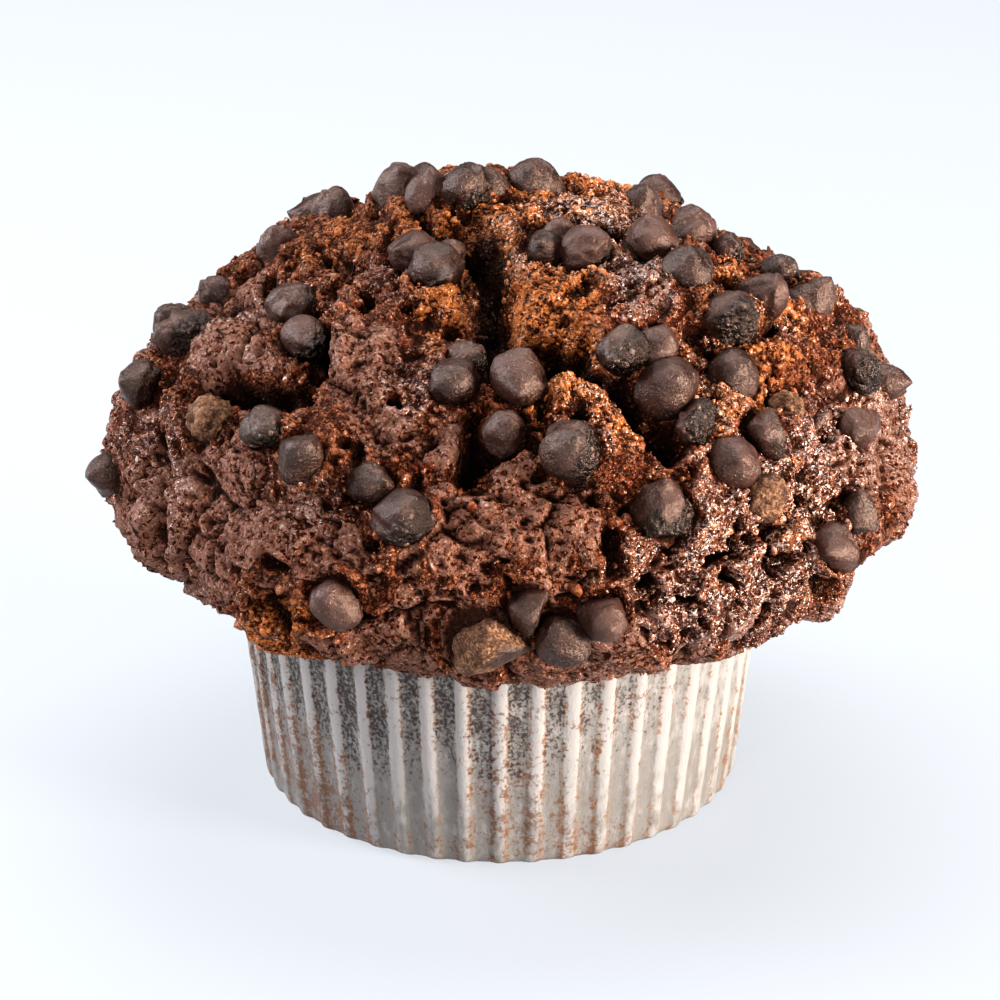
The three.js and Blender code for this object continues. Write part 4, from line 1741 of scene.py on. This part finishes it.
@dataclass
class ChocolateChips:
    """The chocolate drops in the crust."""

    crown: Crown
    seat: float = 0.9
    room: float = 1.1
    tries: int = 360
    seed: int = 20240611
    sides: int = 46
    look_seed: int = 5
    foot: float = 0.33
    corner: float = 0.08
    tip: float = 0.56
    fullness: float = 1.75
    bluntness: float = 0.95
    lump_width: float = 7.0
    lump_sink: float = 1.2
    least_width: float = 5.0
    spread_of_width: float = 1.6
    runt_share: float = 0.12
    runt_size: float = 0.75

    def outline(self) -> list[tuple[float, float]]:
        """A drop's outline, one unit wide: a flat foot, a tight corner and a side that curves up to the tip.

        Returns:
            Distance from its axis and height of each point.
        """
        flat = 0.5 - self.corner
        points = [(flat * step / 4, -self.foot) for step in range(5)]
        for angle in np.radians(np.linspace(0, 90, 6))[1:]:
            rise = self.corner * (1 - math.cos(angle))
            points.append((flat + self.corner * math.sin(angle), rise - self.foot))
        low = self.corner - self.foot
        for climb in np.linspace(0, 1, 16)[1:]:
            reach = 0.5 * (1 - climb**self.fullness) ** self.bluntness
            points.append((float(reach), low + (self.tip - low) * float(climb)))
        return points

    def seats(self, across: Array, down: Array, width: Array) -> Array:
        """Where the front's chips sit: where the sight line comes down to the seat on the crust, or nearest it.

        Args:
            across: units from the front view's left edge.
            down: units from its top.
            width: the chips' widths in millimetres.

        Returns:
            The chips' middles, one row each.
        """
        span = 70.0
        lengths = np.arange(VIEW.distance - span, VIEW.distance + span, 0.25)
        places = []
        for line, wide in zip(VIEW.sight_lines(across, down), width):
            # a lump of batter wider than a chip is sunk in the crust
            seat = min(self.seat, 0.2 * wide) - self.lump_sink * max(0.0, wide - self.lump_width)
            points = VIEW.eye + lengths[:, None] * line
            normals = self.crown.normals(points)
            clearance = self.crown.outside(points) - self.crown.crags(points, normals)
            below = np.flatnonzero(clearance < seat)
            index = below[0] if len(below) else int(np.argmin(clearance))
            places.append(points[index] + (seat - clearance[index]) * normals[index])
        return np.array(places)

    def front(self) -> list[Chip]:
        """The chips that show from the front.

        Returns:
            The chips, in the order of the table.
        """
        table = np.array([row[:5] for row in FRONT_CHIPS], float)
        width = table[:, 2] / VIEW.units_per_mm
        facing = np.sqrt(np.maximum(0.0, 1.0 - table[:, 3] ** 2 - table[:, 4] ** 2))
        tips = unit(
            table[:, 3:4] * np.array([1.0, 0.0, 0.0])
            + table[:, 4:5] * VIEW.upward
            + facing[:, None] * VIEW.towards_eye
        )
        places = self.seats(table[:, 0], table[:, 1], width)
        nearness = ((VIEW.eye - places) @ VIEW.towards_eye) / VIEW.distance
        return [Chip(p, w, t, row[5]) for p, w, t, row in zip(places, width * nearness, tips, FRONT_CHIPS)]

    def covered(self, across: float, down: float) -> bool:
        """Whether a place in the front view is taken up by the crown or by one of its chips.

        Args:
            across: units from the view's left edge.
            down: units from its top.

        Returns:
            True if it is.
        """
        if any(math.hypot(across - row[0], down - row[1]) < 0.5 * row[2] for row in FRONT_CHIPS):
            return True
        lengths = np.arange(VIEW.distance - self.crown.radius, VIEW.distance + self.crown.radius, 1.0)
        line = VIEW.sight_lines(np.array([across]), np.array([down]))[0]
        return bool((self.crown.outside(VIEW.eye + lengths[:, None] * line) < -0.3).any())

    def behind(self, place: Array, normal: Array, width: float) -> bool:
        """Whether a chip is out of sight behind the crown, its edges included.

        Args:
            place: its place on the smooth crown.
            normal: the outward direction there.
            width: its width in millimetres.

        Returns:
            True if it is.
        """
        if normal @ VIEW.towards_eye > 0:
            return False
        across, down = (float(v[0]) for v in VIEW.seen_at(place[None, :]))
        margin = 0.6 * width * VIEW.units_per_mm
        sides = self.covered(across - margin, down) and self.covered(across + margin, down)
        return sides and self.covered(across, down - margin)

    def back(self) -> list[Chip]:
        """The chips that the front view doesn't show, on a loose spiral over the crown.

        Returns:
            The chips from the top down.
        """
        draw = draws_from(self.seed)
        looks = draws_from(self.look_seed)
        chips: list[Chip] = []
        for i in range(self.tries):
            bearing = i * GOLDEN_ANGLE + 0.5 * (next(draw) - 0.5)
            slope = math.radians(90 - 82 * ((i + next(draw)) / self.tries) ** 0.6)
            width = self.least_width + self.spread_of_width * next(draw)
            width *= self.runt_size if next(draw) < self.runt_share else 1.0
            lean = np.array([next(draw) - 0.5, next(draw) - 0.5, next(draw) - 0.5])
            reach, height = self.crown.upper(slope)
            place = np.array([self.crown.offset + reach * math.cos(bearing), reach * math.sin(bearing), height])
            normal = self.crown.normals(place[None, :])[0]
            if not self.behind(place, normal, width):
                continue
            place = place + (self.seat + self.crown.crags(place[None, :], normal[None, :])[0]) * normal
            if any(np.linalg.norm(chip.place - place) < self.room * width for chip in chips):
                continue
            share = next(looks)
            look = CLEAN if share < 0.6 else SCORCHED if share < 0.85 else COATED if share < 0.95 else CLIPPED
            chips.append(Chip(place, width, unit(normal + 1.6 * lean), look))
        return chips

    def drop(self) -> bpy.types.Mesh:
        """One smooth drop, one unit wide, with a flat foot and its blunt tip along +Z.

        Returns:
            Its mesh, which the chips are shaped from.
        """
        form = bmesh.new()
        corners = [form.verts.new((r, 0.0, z)) for r, z in self.outline()]
        for low, high in zip(corners, corners[1:]):
            form.edges.new((low, high))
        bmesh.ops.spin(
            form,
            geom=form.verts[:] + form.edges[:],
            axis=(0, 0, 1),
            cent=(0, 0, 0),
            angle=2 * math.pi,
            steps=self.sides,
            use_merge=True,
        )
        bmesh.ops.remove_doubles(form, verts=form.verts[:], dist=1e-5)
        bmesh.ops.recalc_face_normals(form, faces=form.faces[:])
        put_in_order(form)
        return mesh_from(form, "drop")

    def melted(self, chip: Chip, own: Array, random: np.random.Generator) -> tuple[Array, Array]:
        """A drop as the oven left it: its tip sunk, its sides pressed flat, with ledges and pimples.

        Args:
            chip: the chip.
            own: the drop's vertices in its own units.
            random: the chip's draws.

        Returns:
            The vertices in the drop's units, and the places in the noises that they are shaped by.
        """
        points = own.copy()
        # the tip melts down to a blunt end on most
        melt = random.uniform(0.05, 0.9) + 0.6 * (chip.look is COATED)
        tip = np.maximum(0.0, points[:, 2] - 0.2)
        points[:, 2] -= 0.62 * melt * tip
        points[:, :2] *= (1.0 + 0.5 * melt * tip)[:, None]
        points[:, :2] += np.outer(np.maximum(points[:, 2], 0.0) ** 1.5, random.normal(0, 0.16, 2))
        points *= random.uniform(0.9, 1.05, 3)
        shifted = own + random.uniform(-50, 50, 3)
        outward = unit(own)
        points += 0.09 * noise(shifted, 0.55)[:, None] * outward
        # sides pressed flat in the bag
        for _ in range(random.integers(0, 3) + 3 * (chip.look is COATED)):
            side = unit(random.normal(size=3) * np.array([1.0, 1.0, 0.6]))
            over = points @ side - random.uniform(0.3, 0.4)
            points -= (0.8 * np.maximum(0.0, over))[:, None] * side
        # ledges where the melt folded over itself
        for _ in range(random.integers(0, 3)):
            side = unit(random.normal(size=3))
            bent = points @ side + 0.06 * noise(shifted, 0.4, 7.0) - random.uniform(-0.2, 0.25)
            points += (random.uniform(0.04, 0.09) * smooth_step(-0.03, 0.03, bent))[:, None] * outward
        # small pimples where air came out
        for _ in range(random.integers(0, 14) + 10 * (chip.look is SCORCHED)):
            spot = unit(random.normal(size=3) + np.array([0.0, 0.0, 0.5]))
            away = np.linalg.norm(outward - spot, axis=1)
            height = random.uniform(0.03, 0.055) * np.exp(-((away / random.uniform(0.08, 0.15)) ** 2))
            points += height[:, None] * outward
        points += 0.02 * noise(shifted, 0.16, 15.0)[:, None] * outward
        return points, shifted

    def shape_chip(self, chip: Chip, own: Array, number: int) -> tuple[Array, Array, Array]:
        """Makes a drop into one chip, as uneven as it came from the bag and out of the oven.

        Args:
            chip: the chip.
            own: the drop's vertices in its own units.
            number: the chip's number, which its draws depend on.

        Returns:
            The vertices in millimetres, how scorched each is and how coated.
        """
        random = np.random.default_rng(1000 + number)
        points, shifted = self.melted(chip, own, random)
        outward = unit(own)
        turn = np.array(Vector((0, 0, 1)).rotation_difference(Vector(chip.tip)).to_matrix())
        spin = np.array(Matrix.Rotation(random.uniform(0, 2 * math.pi), 3, "Z"))
        if chip.look is not CLIPPED:
            turn = turn @ spin
        # the side that lay in a gap, mostly to the right and low, is the one that burnt
        lean = 1.1 * outward @ (unit(np.array([0.7, -0.3, -0.6]) + random.normal(0, 0.3, 3)) @ turn)
        burnt = smooth_step(0.2, 0.5, 0.8 * noise(shifted, 0.5, 9.0) + lean)
        scorched = burnt if chip.look is SCORCHED else 0.35 * burnt * (own[:, 2] < -0.1)
        coat = noise(shifted, 0.4, 11.0) - 0.3 * lean + 0.45
        coated = smooth_step(-0.4, 0.1, coat) if chip.look is COATED else 0.0 * burnt
        # which left it lumpy, but a wide chip less than a small one
        lumps, _, _ = grains(shifted, 0.17, 2.0)
        bulk = 0.6 * min(1.0, (6.0 / chip.width) ** 2) * np.maximum(scorched, coated)
        points += (bulk * (0.2 * (0.45 - lumps) + 0.1 * noise(shifted, 0.3, 5.0)))[:, None] * outward
        if chip.look is CLIPPED:
            side = unit(np.array([0.5, 0.1, -0.9]))
            points -= (0.95 * np.maximum(0.0, points @ side - 0.2))[:, None] * side
        return chip.place + chip.width * points @ turn.T, scorched, coated

    def pieces(self, chips: list[Chip]) -> None:
        """Makes two pieces: the scorched and coated chips, and all others.

        Args:
            chips: all chips.
        """
        shape = self.drop()
        own = vertices_of(shape)
        for name, looks in (("chocolate_chips", (CLEAN, CLIPPED)), ("baked_dark_chips", (SCORCHED, COATED))):
            shaped = [self.shape_chip(c, own, n) for n, c in enumerate(chips) if c.look in looks]
            piece = copies_of(shape, np.array([points for points, _, _ in shaped]), name)
            tones = np.random.default_rng(self.look_seed).random(len(shaped))
            scorched = np.concatenate([scorched for _, scorched, _ in shaped])
            coated = np.concatenate([coated for _, _, coated in shaped])
            carry(piece.data, scorched=scorched, coated=coated, tone=np.repeat(tones, len(own)))
            dress(piece, DarkChocolate(), "cake")


@dataclass
class PaperCase:
    """The pleated cup of greaseproof paper."""

    wall: PaperWall
    points_per_pleat: int = 12
    rings: int = 30
    ridge_share: float = 0.76
    base_fade: float = 1.2
    seed: int = 31

    def ridge(self, bearing: Array, height: float) -> tuple[Array, Array]:
        """How much of a pleat's depth the wall stands out.

        Args:
            bearing: angles round the case, in radians.
            height: millimetres above the base.

        Returns:
            0 in a valley to 1 on a ridge, and 0 on a ridge's line to 1 at its foot, for each bearing.
        """
        random = np.random.default_rng(self.seed)
        count = self.wall.pleats
        middles = 0.5 + random.uniform(-0.04, 0.04, count)
        widths = self.ridge_share * random.uniform(0.85, 1.05, count)
        tops = random.uniform(0.7, 1.0, count)
        drift = random.uniform(-0.04, 0.04, count)
        kinks = random.uniform(-0.06, 0.06, count)
        phase = bearing / (2 * math.pi) * count
        index = np.floor(phase).astype(int) % count
        climb = height / self.wall.rim_height
        middle = middles[index] + drift[index] * (climb - 0.5) + kinks[index] * max(0.0, 0.3 - climb)
        away = np.abs(phase - np.floor(phase) - middle) / (widths[index] / 2)
        return tops[index] * smooth_step(1.0, 0.12, away), away

    def ring(self, height: float) -> tuple[Array, Array]:
        """One ring of the wall.

        Args:
            height: millimetres above the base.

        Returns:
            The ring's points in millimetres, and how far each is from its ridge's line, from 0 to 1.
        """
        count = self.wall.pleats * self.points_per_pleat
        bearing = np.arange(count) / count * 2 * math.pi
        ridge, away = self.ridge(bearing, height)
        depths = [self.wall.pleat_depth_at_base, self.wall.pleat_depth]
        depth = np.interp(height, [0, self.wall.rim_height], depths)
        near = np.stack([30 * np.cos(bearing), 30 * np.sin(bearing), np.full(count, height)], axis=1)
        crease = 0.06 * noise(near, 2.5)
        radius = float(self.wall.radius(height)) + depth * ridge + crease * min(1.0, height / 3)
        rounding = self.base_fade * (1 - math.sqrt(max(0.0, 1 - (1 - min(height, 1.5) / 1.5) ** 2)))
        radius = radius - rounding * 0.6
        points = np.stack([radius * np.cos(bearing), radius * np.sin(bearing), np.full(count, height)], axis=1)
        return points, away

    def build(self) -> None:
        """Makes the case as one sheet, a flat floor and the pleated wall up to its rim, and thickens it."""
        count = self.wall.pleats * self.points_per_pleat
        form = bmesh.new()
        floor = self.wall.base_radius - 3
        bmesh.ops.create_circle(form, cap_ends=True, cap_tris=True, segments=count, radius=floor)
        edge = [e for e in form.edges if e.is_boundary]
        for _ in range(self.rings):
            grown = bmesh.ops.extrude_edge_only(form, edges=edge)["geom"]
            corners = [v for v in grown if isinstance(v, bmesh.types.BMVert)]
            bmesh.ops.translate(form, verts=corners, vec=(0, 0, 1))
            edge = [e for e in grown if isinstance(e, bmesh.types.BMEdge) and e.is_boundary]
        put_in_order(form)
        piece = smooth_piece(mesh_from(form, "paper_case_skin"), "paper_case_skin")
        mesh = piece.data
        points = vertices_of(mesh)
        away = np.ones(len(points))
        # the floor's vertices come first, then each ring's, round from +X
        start = len(points) - self.rings * count
        for height in self.wall.rim_height * np.linspace(0, 1, self.rings) ** 1.25:
            rows = slice(start, start + count)
            points[rows], away[rows] = self.ring(float(height))
            start += count
        place_vertices(mesh, points)
        self.stain(mesh, points, away)
        shell = piece.modifiers.new("paper", "SOLIDIFY")
        shell.thickness = self.wall.thickness * METRES
        # the circle's faces point into the cup, so the thickness grows inwards
        shell.offset = 1.0
        dress(piece, GreaseproofPaper(), "paper_case")

    def stain(self, mesh: bpy.types.Mesh, points: Array, away: Array) -> None:
        """Says where the paper lies on the crumb and where it is stained.

        Args:
            mesh: the paper's mesh.
            points: its vertices in millimetres.
            away: how far each is from its ridge's line, from 0 to 1.
        """
        valley = smooth_step(0.4, 0.68, away)
        crease = np.exp(-(((away - 0.6) / 0.26) ** 2))
        bearing = np.arctan2(points[:, 1], points[:, 0])
        patchy = noise(points * np.array([1, 1, 0.5]), 7.0, 2.0)
        climb = smooth_step(4.5, 17.0, points[:, 2] + 4.0 * patchy)
        left_to_right = smooth_step(-0.35, -1.9, bearing) + (bearing > 1.2)
        share = 0.3 + 0.7 * np.clip(left_to_right, 0, 1)
        greased = (0.3 + 0.7 * valley) * (0.7 + 0.3 * share)
        greased += 0.5 * smooth_step(13.0, 3.0, points[:, 2] + 3.0 * patchy)
        stained = 0.4 + 0.35 * noise(points, 9.0, 6.0) + 0.35 * smooth_step(-1.8, -2.6, bearing)
        stained += 0.15 * crease + 0.1 * smooth_step(12.0, 2.0, points[:, 2])
        contact = (0.05 + 0.95 * climb) * (0.12 + 0.88 * valley) * share
        carry(mesh, contact=contact, greased=greased, stained=stained, folded=crease)


# ---------------------------------------------------------------- the studio
@dataclass
class Studio:
    """A white table under soft light from the upper right, and the camera at the front view's eye."""

    table_size: float = 4000.0
    sensor: float = 36.0
    key_power: float = 8.4
    top_power: float = 4.4
    left_power: float = 3.6
    front_power: float = 3.5
    sky: str = "#f2f6fb"
    sky_strength: float = 0.12

    def table(self) -> None:
        """The table top, which isn't part of the muffin."""
        form = bmesh.new()
        bmesh.ops.create_grid(form, x_segments=4, y_segments=4, size=self.table_size / 2 * METRES)
        top = smooth_piece(mesh_from(form, "table_top"), "table_top")
        top.data.materials.append(OpalTable().build())

    def softbox(self, name: str, place: tuple[float, ...], side: float, power: float, colour: str) -> None:
        """A square soft light that points at the muffin.

        Args:
            name: the light's name.
            place: its middle in millimetres.
            side: the length of its sides in millimetres.
            power: its power in watts.
            colour: the light's colour.
        """
        light = bpy.data.lights.new(name, "AREA")
        light.shape = "SQUARE"
        light.size = side * METRES
        light.energy = power
        light.color = linear(colour)[:3]
        lamp = bpy.data.objects.new(name, light)
        lamp.visible_camera = False
        middle = Vector(place) * METRES
        aim = Vector((0, 0, 35.0)) * METRES
        turn = (aim - middle).to_track_quat("-Z", "Y").to_matrix().to_4x4()
        lamp.matrix_world = Matrix.Translation(middle) @ turn
        bpy.context.scene.collection.objects.link(lamp)

    def camera(self) -> None:
        """The camera at the front view's eye, with the same frame."""
        lens = bpy.data.cameras.new("front_view")
        lens.sensor_width = self.sensor
        lens.lens = self.sensor * VIEW.units_per_mm * VIEW.distance / VIEW.units
        lens.clip_start = 0.01
        lens.clip_end = 20.0
        holder = bpy.data.objects.new("front_view", lens)
        turn = Vector(-VIEW.towards_eye).to_track_quat("-Z", "Y").to_matrix().to_4x4()
        holder.matrix_world = Matrix.Translation(Vector(VIEW.eye) * METRES) @ turn
        bpy.context.scene.collection.objects.link(holder)
        bpy.context.scene.camera = holder

    def build(self) -> None:
        """Sets up the table, the lights, the sky and the camera."""
        scene = bpy.context.scene
        self.camera()
        self.table()
        self.softbox("key_light", (545.0, -260.0, 120.0), 200.0, self.key_power, "#fff7ee")
        self.softbox("top_light", (60.0, 200.0, 600.0), 520.0, self.top_power, "#fbfcff")
        self.softbox("left_light", (-480.0, 120.0, 260.0), 300.0, self.left_power, "#f0f5ff")
        self.softbox("front_light", (-150.0, -660.0, 230.0), 400.0, self.front_power, "#f4f7ff")
        world = bpy.data.worlds.new("sky")
        world.use_nodes = True
        world.node_tree.nodes.clear()
        node = partial(add_node, world.node_tree)
        sky = node(Kind.SKY, {"Color": linear(self.sky), "Strength": self.sky_strength})
        node(Kind.WORLD, {"Surface": sky})
        scene.world = world
        scene.view_settings.view_transform = "Standard"
        scene.view_settings.look = "High Contrast"
        log.info("studio: table, four soft lights, sky and camera")


def main() -> None:
    """Builds the studio and the muffin, piece by piece."""
    Studio().build()
    crown = Crown()
    wall = PaperWall()
    drops = ChocolateChips(crown)
    chips = drops.front() + drops.back()
    crumb = Crumb(crown, wall, chips)
    crumb.build()
    for bits in (
        CrumbBits(
            crumb, "crumb_flakes", BitForm.FLAKE,
            count=1700, smallest=0.5, largest=1.4, seed=7, ragged=0.5, sunk=0.3,
        ),
        CrumbBits(
            crumb, "crumb_grains", BitForm.GRAIN,
            count=9500, smallest=0.35, largest=1.0, seed=99, ragged=0.3, spread=0.03, sunk=0.25,
        ),
        CrumbBits(
            crumb, "crumb_grit", BitForm.GRIT,
            count=24000, smallest=0.22, largest=0.45, seed=41, ragged=0.3, spread=0.5, sunk=0.15, of_skin=True,
        ),
    ):
        bits.build()
    drops.pieces(chips)
    PaperCase(wall).build()


if __name__ == "__main__":
    logging.basicConfig(level=logging.INFO, format="%(message)s")
    main()
